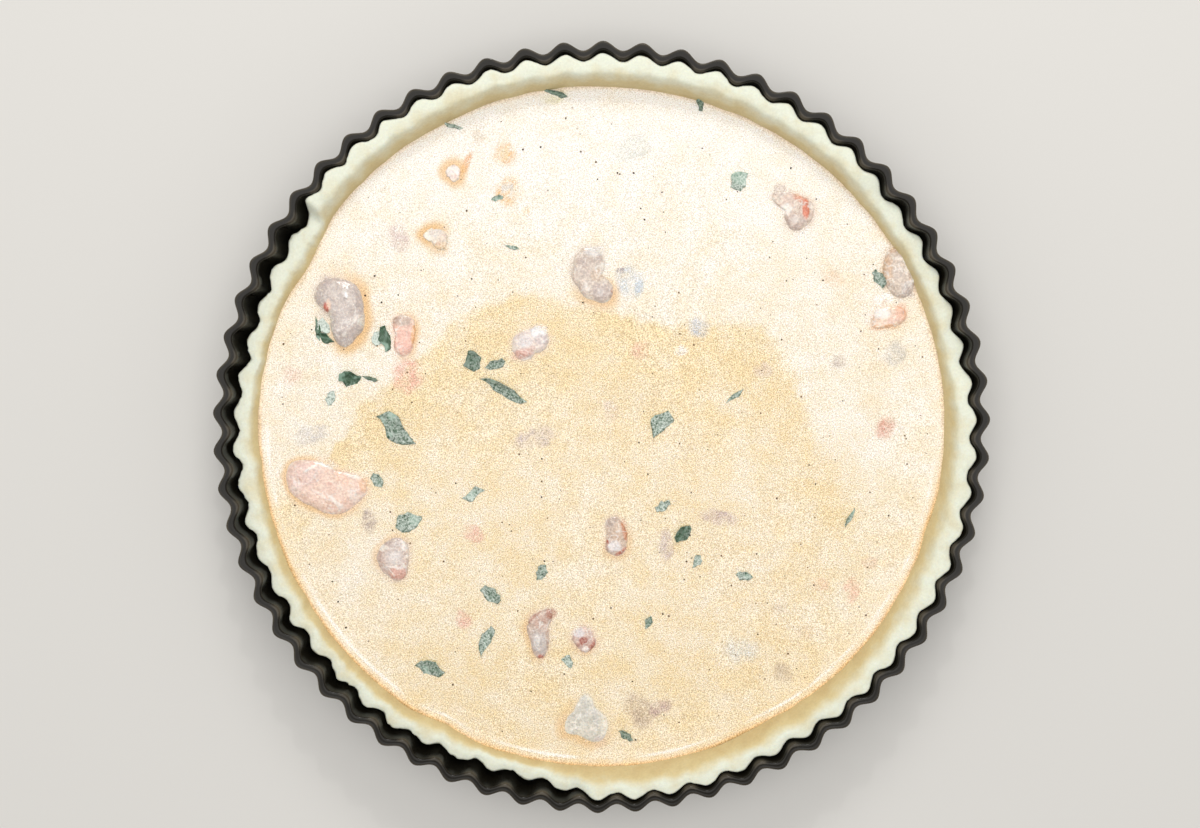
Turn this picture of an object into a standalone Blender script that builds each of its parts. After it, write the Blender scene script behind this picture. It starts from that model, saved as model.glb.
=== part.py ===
"""Unbaked seafood quiche in its fluted tart tin: pastry case, custard and the pieces that stand in it.

Units are metres, +Z is up, and the origin is the centre of the tin's underside.
"""

import bmesh
import bpy
import numpy as np

# ---- driving dimensions ---------------------------------------------------------------------
TIN_DIAMETER = 0.270          # across the crests of the flutes, at the lip
TIN_HEIGHT = 0.030
FLUTES = 62
FLUTE_START = np.radians(2.5)  # direction of the first crest
LIP_DEPTH = 0.0016            # half the height of a flute's wave, at the lip
FOOT_DEPTH = 0.0012           # half the height of a flute's wave, at the base
LIP_WIDTH = 0.0030
LIP_THICKNESS = 0.0012
SHEET = 0.0008                # thickness of the tin's steel
WALL_SLOPE = 0.24             # how far the wall leans out for each unit of height

GAP = 0.00035                 # clearance between pieces that touch
WALL_GAP = 0.0005             # clearance between the pastry's side and the fluted wall
COLUMNS = FLUTES * 4          # steps round the fluted pieces
FILLING_COLUMNS = FLUTES * 2  # steps round the custard

PASTRY_TOP = 0.0290           # height of the pastry's edge where it hasn't slipped
PASTRY_FLOOR = 0.0058         # top of the pastry's bottom
PASTRY_EDGE_WIDTH = 0.0038    # flat top of the pastry's edge
PASTRY_CHAMFER = 0.0007       # rounding of the edge's outer corner
FLOOR_RADIUS = 0.1125         # where the pastry's inner wall meets its bottom
POOL_RADIUS = 0.1200          # where the custard meets the pastry
CUSTARD_LEVEL = 0.0205

# Stretches of the pastry's edge that slipped down or shrank from the wall:
# from and to in degrees, softness of each end in degrees, drop and shrinkage in metres.
SLUMPS = (
    (8, 43, 9, 9, 0.0030, 0.0003),
    (142, 267, 2, 5, 0.0042, 0.0006),
    (142, 172, 2, 10, 0.0003, 0.0014),
    (205, 227, 6, 6, 0.0000, 0.0006),
    (240, 261, 6, 5, 0.0004, 0.0013),
    (291, 309, 6, 6, 0.0012, 0.0003),
)
# Rise of the edge on the far side: from, to, softness of each end, height.
FAR_RISE = (72, 139, 12, 2, 0.0007)
# Bulges of the inner wall towards the middle: direction and width in degrees, depth in metres.
BULGES = (
    (150, 7, 0.0034),
    (242, 4, 0.0014),
    (297, 8, 0.0012),
    (344, 3, 0.0009),
    (75, 20, 0.0006),
)

# Pieces that stand in the custard. Each is a rounded body along a bent centre line:
# name, x, y, length, width, height, proud of the custard (all in mm),
# heading and bend in degrees (a bend is never 0), width of its far end as a share of its near end,
# and whether it is large enough for the finer steps.
SEAFOOD = (
    ("prawn_1", -91.7, 42.5, 25.5, 13.0, 9.0, 2.6, 92, 62, 0.85, True),
    ("salmon_1", -96.2, -18.3, 31.0, 18.0, 8.0, 1.6, -25, 45, 0.90, True),
    ("prawn_2", -1.6, 54.8, 20.0, 9.0, 6.5, 1.1, -72, 62, 1.05, False),
    ("prawn_3", 100.9, 54.0, 18.5, 7.4, 5.2, 1.5, -71, -20, 0.90, False),
    ("salmon_2", 100.0, 40.2, 13.5, 9.0, 6.5, 1.0, 14, -20, 0.90, False),
    ("prawn_4", 66.0, 77.4, 15.5, 8.0, 6.5, 1.1, -98, -85, 1.20, False),
    ("prawn_5", -72.0, -45.6, 17.0, 9.8, 6.5, 1.3, -102, 22, 0.90, False),
    ("prawn_6", -21.0, -71.0, 21.0, 7.8, 6.5, 1.3, -98, 58, 1.05, False),
    ("prawn_7", -5.9, -74.3, 9.6, 9.0, 6.5, 1.0, 30, 1, 1.00, False),
    ("white_fish_1", -4.6, -103.4, 19.5, 21.5, 6.5, 0.8, 86, 1, 0.42, True),
    ("prawn_8", -24.7, 31.0, 16.5, 10.0, 6.5, 1.2, 32, 1, 1.00, False),
    ("prawn_9", 4.7, -37.2, 16.5, 9.0, 6.5, 1.2, -86, -22, 1.10, False),
    ("prawn_10", -51.9, 90.0, 9.8, 9.2, 6.5, 1.0, 40, 1, 1.00, False),
    ("prawn_11", -57.2, 67.6, 14.0, 9.2, 6.5, 0.8, -32, -20, 1.00, False),
    ("salmon_3", -69.4, 34.8, 15.0, 9.6, 6.5, 1.1, -98, -15, 1.05, False),
)
FINE_STEPS = (10, 8)          # sides and stations of a large piece
COARSE_STEPS = (8, 6)         # sides and stations of a small one
END_ROUNDNESS = 3.0           # 2 gives elliptical ends, more gives blunter ones
SQUARENESS = 0.7              # 1 gives an elliptical section, less gives a squarer one
END_REACH = 0.985             # how near to the tips the first and last stations lie

# name: colour, roughness, metallic
MATERIALS = {
    "black_tin": ((0.026, 0.022, 0.017), 0.32, 0.0),
    "raw_pastry": ((0.76, 0.75, 0.56), 0.55, 0.0),
    "custard": ((0.92, 0.74, 0.50), 0.30, 0.0),
    "prawn_flesh": ((0.60, 0.50, 0.47), 0.25, 0.0),
    "salmon_flesh": ((0.85, 0.52, 0.42), 0.30, 0.0),
    "fish_flesh": ((0.68, 0.66, 0.60), 0.30, 0.0),
}

TIN_RADIUS = TIN_DIAMETER / 2 - LIP_DEPTH
MM = 0.001


# ---- helpers --------------------------------------------------------------------------------
def clear_scene():
    """Remove whatever objects the file holds."""
    for item in list(bpy.data.objects):
        bpy.data.objects.remove(item, do_unlink=True)


def make_materials():
    """One Principled material for each finish."""
    made = {}
    for name, (colour, roughness, metallic) in MATERIALS.items():
        material = bpy.data.materials.new(name)
        material.use_nodes = True
        shader = material.node_tree.nodes["Principled BSDF"]
        shader.inputs["Base Color"].default_value = (*colour, 1.0)
        shader.inputs["Roughness"].default_value = roughness
        shader.inputs["Metallic"].default_value = metallic
        made[name] = material
    return made


def angles(count):
    """Directions round the tin, the first one on a crest."""
    return FLUTE_START + np.arange(count) * 2 * np.pi / count


def wave(angle):
    """Flute wave: 1 on a crest, -1 in a trough."""
    return np.cos(FLUTES * (angle - FLUTE_START))


def ring(angle, radius, height):
    """Closed ring of points, with a radius and a height for each direction."""
    radius = radius + np.zeros_like(angle)
    height = height + np.zeros_like(angle)
    return np.stack([radius * np.cos(angle), radius * np.sin(angle), height], axis=1)


def turn_between(angle, centre_degrees):
    """Signed angle in degrees from a direction, in the range -180 to 180."""
    return (np.degrees(angle) - centre_degrees + 180) % 360 - 180


def smooth_step(value):
    """0 below 0, 1 above 1, with a smooth rise between."""
    value = np.clip(value, 0, 1)
    return value * value * (3 - 2 * value)


def window(angle, start, end, soft_start, soft_end):
    """1 between two directions and 0 outside, with a soft end on each side."""
    half = (end - start) / 2
    offset = turn_between(angle, (start + end) / 2)
    rise = smooth_step((offset + half) / soft_start + 0.5)
    fall = smooth_step((half - offset) / soft_end + 0.5)
    return rise * fall


def closed_loft(name, rings, material):
    """Solid through a list of rings with equally many points, its two ends filled."""
    mesh = bmesh.new()
    rows = [[mesh.verts.new(point) for point in one] for one in rings]
    count = len(rows[0])
    for low, high in zip(rows, rows[1:]):
        for i in range(count):
            j = (i + 1) % count
            mesh.faces.new((low[i], low[j], high[j], high[i]))
    mesh.faces.new(rows[0][::-1])
    mesh.faces.new(rows[-1])
    bmesh.ops.recalc_face_normals(mesh, faces=mesh.faces)
    data = bpy.data.meshes.new(name)
    mesh.to_mesh(data)
    mesh.free()
    data.materials.append(material)
    data.shade_smooth()
    data.set_sharp_from_angle(angle=np.radians(40))
    made = bpy.data.objects.new(name, data)
    bpy.context.scene.collection.objects.link(made)
    return made


# ---- tin ------------------------------------------------------------------------------------
def wall_radius(height):
    """Mean radius of the tin's inner wall at a height."""
    return TIN_RADIUS - LIP_WIDTH - WALL_SLOPE * (TIN_HEIGHT - height)


def flute_depth(height):
    """Half the height of the flute's wave at a height."""
    return FOOT_DEPTH + (LIP_DEPTH - FOOT_DEPTH) * height / TIN_HEIGHT


def make_tin(material):
    """Pressed steel tin: plain base, leaning fluted wall and a flat lip that follows the flutes."""
    angle = angles(COLUMNS)
    lip_under = TIN_HEIGHT - LIP_THICKNESS
    profile = (
        (wall_radius(0) + SHEET, 0),
        (wall_radius(lip_under) + SHEET, lip_under),
        (TIN_RADIUS, lip_under),
        (TIN_RADIUS, TIN_HEIGHT),
        (wall_radius(TIN_HEIGHT), TIN_HEIGHT),
        (wall_radius(SHEET), SHEET),
    )
    rings = [ring(angle, r + flute_depth(z) * wave(angle), z) for r, z in profile]
    return closed_loft("tin", rings, material)


# ---- pastry ---------------------------------------------------------------------------------
def edge_height(angle):
    """Height of the pastry's edge all round, lower where it slipped."""
    start, end, soft_start, soft_end, rise = FAR_RISE
    height = PASTRY_TOP + rise * window(angle, start, end, soft_start, soft_end)
    for start, end, soft_start, soft_end, drop, shrink in SLUMPS:
        height = height - drop * window(angle, start, end, soft_start, soft_end)
    return height


def edge_shrink(angle):
    """Distance by which the pastry has drawn back from the wall at its edge."""
    total = np.zeros_like(angle)
    for start, end, soft_start, soft_end, drop, shrink in SLUMPS:
        total = total + shrink * window(angle, start, end, soft_start, soft_end)
    return total


def inner_bulge(angle):
    """Distance by which the pastry's inner wall bulges towards the middle."""
    total = np.zeros_like(angle)
    for centre, width, depth in BULGES:
        total = total + depth * np.exp(-((turn_between(angle, centre) / width) ** 2))
    return total


def make_crust(material):
    """Raw pastry pressed into the tin: a bottom, and a wall that keeps the flutes outside."""
    angle = angles(COLUMNS)
    bottom = SHEET + GAP
    top = edge_height(angle)
    shoulder = top - PASTRY_CHAMFER
    shrink = edge_shrink(angle)
    foot = wall_radius(bottom) - WALL_GAP + flute_depth(bottom) * wave(angle)
    side = wall_radius(shoulder) - WALL_GAP - shrink + flute_depth(shoulder) * wave(angle)
    lip = wall_radius(top) - PASTRY_EDGE_WIDTH - shrink + flute_depth(top) * wave(angle) / 2
    pool = POOL_RADIUS - inner_bulge(angle)
    floor = FLOOR_RADIUS - inner_bulge(angle) / 2
    rings = [
        ring(angle, foot, bottom),
        ring(angle, side, shoulder),
        ring(angle, side - PASTRY_CHAMFER, top),
        ring(angle, lip, top - PASTRY_CHAMFER),
        ring(angle, pool, CUSTARD_LEVEL),
        ring(angle, floor, PASTRY_FLOOR),
    ]
    return closed_loft("crust", rings, material)


# ---- custard and seafood --------------------------------------------------------------------
def make_filling(material):
    """Liquid custard up to its level, its side one clearance inside the pastry."""
    angle = angles(FILLING_COLUMNS)
    pool = POOL_RADIUS - inner_bulge(angle) - GAP * 1.5
    floor = FLOOR_RADIUS - inner_bulge(angle) / 2 - GAP * 1.5
    rings = [
        ring(angle, floor, PASTRY_FLOOR + GAP),
        ring(angle, pool, CUSTARD_LEVEL),
    ]
    return closed_loft("filling", rings, material)


def morsel_rings(row, clearance):
    """Rings of one piece: ellipses across a bent centre line, small at both rounded ends."""
    x, y, length, width, height, proud = (value * MM for value in row[1:7])
    heading, bend, taper, fine = row[7:]
    sides, stations = FINE_STEPS if fine else COARSE_STEPS
    share = -END_REACH * np.cos(np.linspace(0, np.pi, stations))
    girth = (1 - np.abs(share) ** END_ROUNDNESS) ** 0.5
    narrowing = 1 + (taper - 1) * (share + 1) / 2
    half_width = girth * (narrowing * width / 2 + clearance)
    half_height = girth * (height / 2 + clearance)
    half_bend = np.radians(bend) / 2
    reach = length / 2 + clearance
    radius = reach / half_bend
    curve = half_bend * share
    along = radius * np.sin(curve)
    aside = radius * (1 - np.cos(curve)) - radius * (1 - np.cos(half_bend)) / 2
    middle = CUSTARD_LEVEL + proud - height / 2
    turn = np.radians(heading)
    around = np.arange(sides) * 2 * np.pi / sides
    across_share = np.sign(np.cos(around)) * np.abs(np.cos(around)) ** SQUARENESS
    up_share = np.sign(np.sin(around)) * np.abs(np.sin(around)) ** SQUARENESS
    rings = []
    for k in range(stations):
        across = half_width[k] * across_share
        local_x = along[k] - across * np.sin(curve[k])
        local_y = aside[k] + across * np.cos(curve[k])
        rings.append(np.stack([
            x + local_x * np.cos(turn) - local_y * np.sin(turn),
            y + local_x * np.sin(turn) + local_y * np.cos(turn),
            middle + half_height[k] * up_share,
        ], axis=1))
    return rings


def make_seafood(materials, filling):
    """Every piece as its own solid, with a pocket for it cut in the custard."""
    flesh = {"prawn": "prawn_flesh", "salmon": "salmon_flesh", "white": "fish_flesh"}
    for row in SEAFOOD:
        name = row[0]
        material = materials[flesh[name.split("_")[0]]]
        closed_loft(name, morsel_rings(row, 0), material)
        cutter = closed_loft(name + "_pocket", morsel_rings(row, GAP), material)
        cutter.hide_render = True
        cutter.display_type = "WIRE"
        cut = filling.modifiers.new(name + "_pocket", "BOOLEAN")
        cut.operation = "DIFFERENCE"
        cut.solver = "EXACT"
        cut.object = cutter


def main():
    clear_scene()
    materials = make_materials()
    make_tin(materials["black_tin"])
    make_crust(materials["raw_pastry"])
    filling = make_filling(materials["custard"])
    make_seafood(materials, filling)


main()
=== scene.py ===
"""Unbaked seafood quiche in its fluted tin: raw pastry, foamy custard, prawns, salmon, fish and basil.

The packed model gives every place and size. Each operator makes one piece, or one group of like
pieces, as a surface worked out on a grid. Units are metres, +Z is up.
"""

import bpy
import numpy as np
from mathutils import Matrix, Vector


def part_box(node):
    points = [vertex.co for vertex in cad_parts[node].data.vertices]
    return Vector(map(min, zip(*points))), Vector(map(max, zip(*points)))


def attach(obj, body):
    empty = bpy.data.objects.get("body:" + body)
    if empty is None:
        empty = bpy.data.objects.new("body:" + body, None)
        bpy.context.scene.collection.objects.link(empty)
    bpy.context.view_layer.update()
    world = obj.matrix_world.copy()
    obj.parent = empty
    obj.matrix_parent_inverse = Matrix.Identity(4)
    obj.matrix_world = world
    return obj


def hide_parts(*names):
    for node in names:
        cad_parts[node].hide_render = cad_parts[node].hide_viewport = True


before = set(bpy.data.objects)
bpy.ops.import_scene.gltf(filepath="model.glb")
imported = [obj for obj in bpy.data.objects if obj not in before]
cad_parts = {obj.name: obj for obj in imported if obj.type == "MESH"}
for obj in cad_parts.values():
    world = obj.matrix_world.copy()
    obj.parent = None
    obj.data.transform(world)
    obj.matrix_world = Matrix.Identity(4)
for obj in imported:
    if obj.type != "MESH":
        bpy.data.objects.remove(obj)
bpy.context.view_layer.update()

bl_info = {
    "name": "Seafood quiche",
    "version": (1, 0, 0),
    "blender": (4, 5, 0),
    "location": "View3D > Sidebar > Quiche",
    "description": "Makes an unbaked seafood quiche in its fluted tart tin",
    "category": "Add Mesh",
}

MM = 0.001
BODY = "root"
TAU = 2 * np.pi


def linear(code):
    """Linear red, green, blue and alpha of an sRGB hex colour such as #f4e2c1."""
    srgb = np.array([int(code[i:i + 2], 16) for i in (1, 3, 5)]) / 255
    low = srgb / 12.92
    high = ((srgb + 0.055) / 1.055) ** 2.4
    return (*np.where(srgb <= 0.04045, low, high).tolist(), 1.0)


# ---- places and sizes read from the packed model ----------------------------------------------
TIN_BOX = np.array(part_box("tin"))
CRUST_BOX = np.array(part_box("crust"))
FILLING_BOX = np.array(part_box("filling"))
TIN_HEIGHT = TIN_BOX[1, 2] - 0.01 * MM
TIN_CREST = TIN_BOX[1, 1]
CUSTARD_LEVEL = FILLING_BOX[1, 2]
CRUST_FOOT = CRUST_BOX[0, 2]
CRUST_TOP = CRUST_BOX[1, 2]


def place(node):
    """Middle of a node's box."""
    return np.array(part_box(node)).mean(axis=0)


# ---- settings ---------------------------------------------------------------------------------
def length_setting(name, description, default):
    """A length property."""
    return bpy.props.FloatProperty(
        name=name, description=description, default=default, subtype="DISTANCE", unit="LENGTH")


def colour_setting(name, description, code):
    """A colour property whose default is a hex code."""
    return bpy.props.FloatVectorProperty(
        name=name, description=description, default=linear(code), size=4, min=0, max=1,
        subtype="COLOR")


class TinSettings(bpy.types.PropertyGroup):
    """Sizes and colours of the fluted tin."""
    flutes: bpy.props.IntProperty(
        name="Flutes", description="Number of flutes round the wall", default=62, min=12)
    start: bpy.props.FloatProperty(
        name="First crest", description="Direction of the first crest",
        default=np.radians(2.5), subtype="ANGLE")
    depth: length_setting("Flute depth", "Half the height of a flute's wave at the lip", 1.6 * MM)
    foot_depth: length_setting("Foot depth", "Half the height of the wave at the base", 1.2 * MM)
    lip: length_setting("Lip width", "Width of the flat lip", 3.0 * MM)
    sheet: length_setting("Sheet", "Thickness of the steel", 0.8 * MM)
    slope: bpy.props.FloatProperty(
        name="Slope", description="How far the wall leans out per unit of height", default=0.24)
    coating: colour_setting("Coating", "Colour of the coating on the lip", "#1a1711")
    # Painted shade: the wall has the lip's coating, painted darker where it stands in shadow.
    wall: colour_setting("Wall", "Colour of the coating down the wall", "#0e0c08")
    # Painted highlight colour, partly real: lightens the flute ridges under the lip and the lip's outer
    # edge, which is partly bare metal.
    wear_and_sheen: colour_setting("Worn edge", "Colour of the rubbed ridges", "#6b6252")


class PastrySettings(bpy.types.PropertyGroup):
    """Sizes and colours of the raw pastry case."""
    edge: length_setting("Edge width", "Width of the flat top of the pastry", 3.9 * MM)
    clearance: length_setting("Clearance", "Gap to the fluted wall", 0.35 * MM)
    pool: length_setting("Pool radius", "Where the custard meets the pastry", 120.0 * MM)
    dry: colour_setting("Dry dough", "Colour of the top of the edge", "#eaeddb")
    # Damp and soaked colours are partly painted shade: the inner face darkens towards the custard from
    # shade as well as soaking.
    damp_and_shaded: colour_setting("Damp dough", "Colour of the dough half way down", "#dccb9a")
    soaked_and_shaded: colour_setting("Soaked dough", "Colour of the dough at the custard", "#cdb582")


class CustardSettings(bpy.types.PropertyGroup):
    """Sizes and colours of the custard and its foam."""
    cells: bpy.props.IntProperty(
        name="Cells", description="Cells across the custard's surface", default=292, min=40)
    cream: colour_setting("Cream", "Palest custard", "#fbf5ec")
    egg: colour_setting("Egg", "Warm custard under the foam", "#f0d7aa")
    # The amber also carries painted shade: the contact line at the pastry and the dark edge beside pieces.
    stain_and_shade: colour_setting("Stain", "Amber custard drawn up round a piece", "#e9bb7c")
    bubbles: bpy.props.IntProperty(
        name="Bubbles", description="Number of bubbles of foam", default=2600, min=0)


class SeafoodSettings(bpy.types.PropertyGroup):
    """Colours shared by the raw seafood."""
    shell: colour_setting("Prawn creases", "Creases between a prawn's segments", "#ab8a7c")
    fat: colour_setting("Fat", "White lines in the fish", "#fbeadf")
    film: colour_setting("Film", "Custard lying on the seafood", "#f7ecd9")


class HerbSettings(bpy.types.PropertyGroup):
    """Colours and amounts of the basil and the pepper."""
    leaf: colour_setting("Leaf", "Top of a basil leaf", "#2a4f30")
    back: colour_setting("Leaf back", "Underside of a basil leaf", "#86a592")
    pepper: colour_setting("Pepper", "Ground black pepper", "#3a2c20")
    grains: bpy.props.IntProperty(
        name="Grains", description="Number of grains of pepper", default=520, min=0)


class StageSettings(bpy.types.PropertyGroup):
    """Floor, light and camera."""
    floor: colour_setting("Floor", "Plain pale floor", "#dcdad6")
    key: bpy.props.FloatProperty(
        name="Key light", description="Power of the window light", default=4.4, unit="POWER")
    fill: bpy.props.FloatProperty(
        name="Fill light", description="Power of the overhead light", default=10.5, unit="POWER")
    lens: bpy.props.FloatProperty(
        name="Lens", description="Focal length in millimetres", default=56.19)


# ---- numbers and fields -----------------------------------------------------------------------
def smooth_step(value):
    """0 below 0, 1 above 1, and 3 v^2 - 2 v^3 between."""
    value = np.clip(value, 0, 1)
    return value * value * (3 - 2 * value)


def value_noise(x, y, size, seed):
    """Random values from -1 to 1 on a square lattice of the given size, blended smoothly."""
    lattice = np.random.default_rng(seed).uniform(-1, 1, (128, 128))
    u, v = np.asarray(x) / size, np.asarray(y) / size
    i, j = np.floor(u).astype(int), np.floor(v).astype(int)
    s, t = smooth_step(u - i), smooth_step(v - j)
    near = lattice[i % 128, j % 128] * (1 - s) + lattice[(i + 1) % 128, j % 128] * s
    far = lattice[i % 128, (j + 1) % 128] * (1 - s) + lattice[(i + 1) % 128, (j + 1) % 128] * s
    return near * (1 - t) + far * t


def rough_noise(x, y, size, seed, octaves=3):
    """Sum of value noises, each half the size and half the height of the one before."""
    total = sum(value_noise(x, y, size / 2 ** k, seed + k) / 2 ** k for k in range(octaves))
    return total / (2 - 2 ** (1 - octaves))


def blob(x, y, centre, half_length, half_width, turn, soft=0.35):
    """1 inside an ellipse and 0 outside, with a soft edge that is a share of its size."""
    dx, dy = x - centre[0], y - centre[1]
    along = (dx * np.cos(turn) + dy * np.sin(turn)) / half_length
    across = (dy * np.cos(turn) - dx * np.sin(turn)) / half_width
    return smooth_step((1 - np.hypot(along, across)) / soft + 0.5)


def turn_between(angle, degrees):
    """Signed angle in degrees from a direction, in the range -180 to 180."""
    return (np.degrees(angle) - degrees + 180) % 360 - 180


def window(angle, start, end, soft_start, soft_end):
    """1 between two directions and 0 outside, with a soft end on each side, all in degrees."""
    half = (end - start) / 2
    offset = turn_between(angle, (start + end) / 2)
    return smooth_step((offset + half) / soft_start + 0.5) * smooth_step(
        (half - offset) / soft_end + 0.5)


# ---- meshes -----------------------------------------------------------------------------------
def wrapped_faces(rows, columns):
    """Quads of rings joined in order, closed at both ends by a pole: point 0 and the last point."""
    ring = np.arange(rows * columns).reshape(rows, columns) + 1
    low, high = ring[:-1], ring[1:]
    quads = np.stack([low, np.roll(low, -1, 1), np.roll(high, -1, 1), high], -1).reshape(-1, 4)
    first = np.stack([np.zeros(columns, int), np.roll(ring[0], -1), ring[0]], -1)
    last = np.stack([ring[-1], np.roll(ring[-1], -1), np.full(columns, rows * columns + 1)], -1)
    return quads.tolist() + first.tolist() + last.tolist()


def wrapped_points(grid, first, last):
    """Points of a grid of rings between its two poles."""
    return np.vstack([np.array(first)[None], grid.reshape(-1, 3), np.array(last)[None]])


def joined(parts):
    """Points and faces of many small shapes as one mesh."""
    counts = np.cumsum([0] + [len(points) for points, faces in parts])
    faces = [[v + n for v in face] for n, (points, part) in zip(counts, parts) for face in part]
    return np.vstack([points for points, part in parts]), faces


def add_piece(name, points, faces, material, nodes=(), fields=None):
    """A smooth mesh that rides on the body, with one number for each point in each field."""
    mesh = bpy.data.meshes.new(name)
    mesh.from_pydata(np.asarray(points).tolist(), [], faces)
    for field, values in (fields or {}).items():
        values = np.asarray(values, dtype=np.float32)
        kind = "FLOAT_COLOR" if values.ndim == 2 else "FLOAT"
        layer = mesh.attributes.new(field, kind, "POINT")
        layer.data.foreach_set("color" if values.ndim == 2 else "value", values.ravel())
    mesh.materials.append(material)
    mesh.shade_smooth()
    mesh.update()
    piece = bpy.data.objects.new(name, mesh)
    bpy.context.scene.collection.objects.link(piece)
    if nodes:
        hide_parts(*nodes)
    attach(piece, BODY)
    return piece


# ---- materials --------------------------------------------------------------------------------
def add_node(tree, kind, sockets=None, stops=(), **settings):
    """Add a node, set its settings and ramp stops, and link or fill its sockets."""
    made = tree.nodes.new("ShaderNode" + kind)
    for key, value in settings.items():
        setattr(made, key, value)
    while len(made.color_ramp.elements) < len(stops) if stops else False:
        made.color_ramp.elements.new(0.5)
    for k, (position, colour) in enumerate(stops):
        made.color_ramp.elements[k].position = position
        made.color_ramp.elements[k].color = colour
    for key, value in (sockets or {}).items():
        if isinstance(value, bpy.types.NodeSocket):
            tree.links.new(value, made.inputs[key])
        else:
            made.inputs[key].default_value = value
    return made


def new_material(name):
    """An empty material, its tree and its shader."""
    material = bpy.data.materials.new(name)
    material.use_nodes = True
    tree = material.node_tree
    return material, tree, tree.nodes["Principled BSDF"]


def coated_steel(tin):
    """Pressed steel with a baked black non-stick coating: satin, faintly mottled, with a painted highlight
    on the ridges and on the lip's outer edge, which is partly bare metal, and painted shade darkening the
    wall.
    """
    material, tree, shader = new_material("coated_steel")
    spot = add_node(tree, "TexCoord").outputs["Object"]
    mottle = add_node(tree, "TexNoise", {
        "Vector": spot, "Scale": 1 / (6 * MM), "Detail": 5.0})
    grain = add_node(tree, "TexNoise", {
        "Vector": spot, "Scale": 1 / (0.5 * MM), "Detail": 2.0})
    # Painted highlight: this mask lightens the flute ridges and the lip's outer edge, the edge partly bare
    # metal.
    wear_and_sheen = add_node(tree, "Attribute", attribute_name="wear_and_sheen")
    amount = add_node(tree, "Math", {
        0: wear_and_sheen.outputs["Fac"], 1: mottle.outputs["Fac"]}, operation="MULTIPLY")
    colour = add_node(tree, "Mix", {
        "Factor": amount.outputs[0], "A": tin.coating, "B": tin.wear_and_sheen}, data_type="RGBA")
    # Painted shade: below the lip the coating gets the darker wall colour.
    lip = add_node(tree, "Attribute", attribute_name="lip")
    shaded = add_node(tree, "Mix", {
        "Factor": lip.outputs["Fac"], "A": tin.wall, "B": colour.outputs["Result"]},
        data_type="RGBA")
    mixed = add_node(tree, "Math", {
        0: lip.outputs["Fac"], 1: mottle.outputs["Fac"]}, operation="MULTIPLY")
    rough = add_node(tree, "MapRange", {
        "Value": mixed.outputs[0], "To Min": 0.07, "To Max": 0.3})
    bump = add_node(tree, "Bump", {
        "Height": grain.outputs["Fac"], "Strength": 0.05, "Distance": 0.05 * MM})
    tree.links.new(shaded.outputs["Result"], shader.inputs["Base Color"])
    tree.links.new(rough.outputs["Result"], shader.inputs["Roughness"])
    tree.links.new(bump.outputs["Normal"], shader.inputs["Normal"])
    shader.inputs["Specular IOR Level"].default_value = 0.22
    return material


def raw_shortcrust(pastry):
    """Rolled flour and butter dough: matt, pale, with flecks of fat, darker down the inner face where
    custard soaks it and as painted shade.
    """
    material, tree, shader = new_material("raw_shortcrust")
    spot = add_node(tree, "TexCoord").outputs["Object"]
    soak_and_shade = add_node(tree, "Attribute", attribute_name="soak_and_shade")
    cloud = add_node(tree, "TexNoise", {
        "Vector": spot, "Scale": 1 / (7 * MM), "Detail": 4.0})
    fleck = add_node(tree, "TexNoise", {
        "Vector": spot, "Scale": 1 / (0.9 * MM), "Detail": 4.0,
        "Roughness": 0.65})
    shift = add_node(tree, "MapRange", {
        "Value": cloud.outputs["Fac"], "From Min": 0.3, "From Max": 0.7, "To Min": -0.17,
        "To Max": 0.17})
    level = add_node(tree, "Math", {
        0: soak_and_shade.outputs["Fac"], 1: shift.outputs["Result"]}, operation="ADD")
    # Painted shade and soaking together: the ramp darkens the dough down the inner face.
    base = add_node(tree, "ValToRGB", {"Fac": level.outputs[0]}, stops=(
        (0.05, pastry.dry), (0.55, pastry.damp_and_shaded), (0.95, pastry.soaked_and_shaded)))
    dust = add_node(tree, "MapRange", {
        "Value": fleck.outputs["Fac"], "From Min": 0.35, "From Max": 0.75, "To Min": 0.93,
        "To Max": 1.05})
    colour = add_node(tree, "VectorMath", {
        0: base.outputs["Color"], 1: dust.outputs["Result"]}, operation="MULTIPLY")
    rough = add_node(tree, "MapRange", {
        "Value": soak_and_shade.outputs["Fac"], "From Min": 0.5, "To Min": 0.62, "To Max": 0.3})
    bump = add_node(tree, "Bump", {
        "Height": fleck.outputs["Fac"], "Strength": 0.35, "Distance": 0.25 * MM})
    tree.links.new(colour.outputs["Vector"], shader.inputs["Base Color"])
    tree.links.new(rough.outputs["Result"], shader.inputs["Roughness"])
    tree.links.new(bump.outputs["Normal"], shader.inputs["Normal"])
    shader.inputs["Subsurface Weight"].default_value = 0.15
    shader.inputs["Subsurface Radius"].default_value = (1.0, 0.8, 0.5)
    shader.inputs["Subsurface Scale"].default_value = 0.8 * MM
    return material


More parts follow.
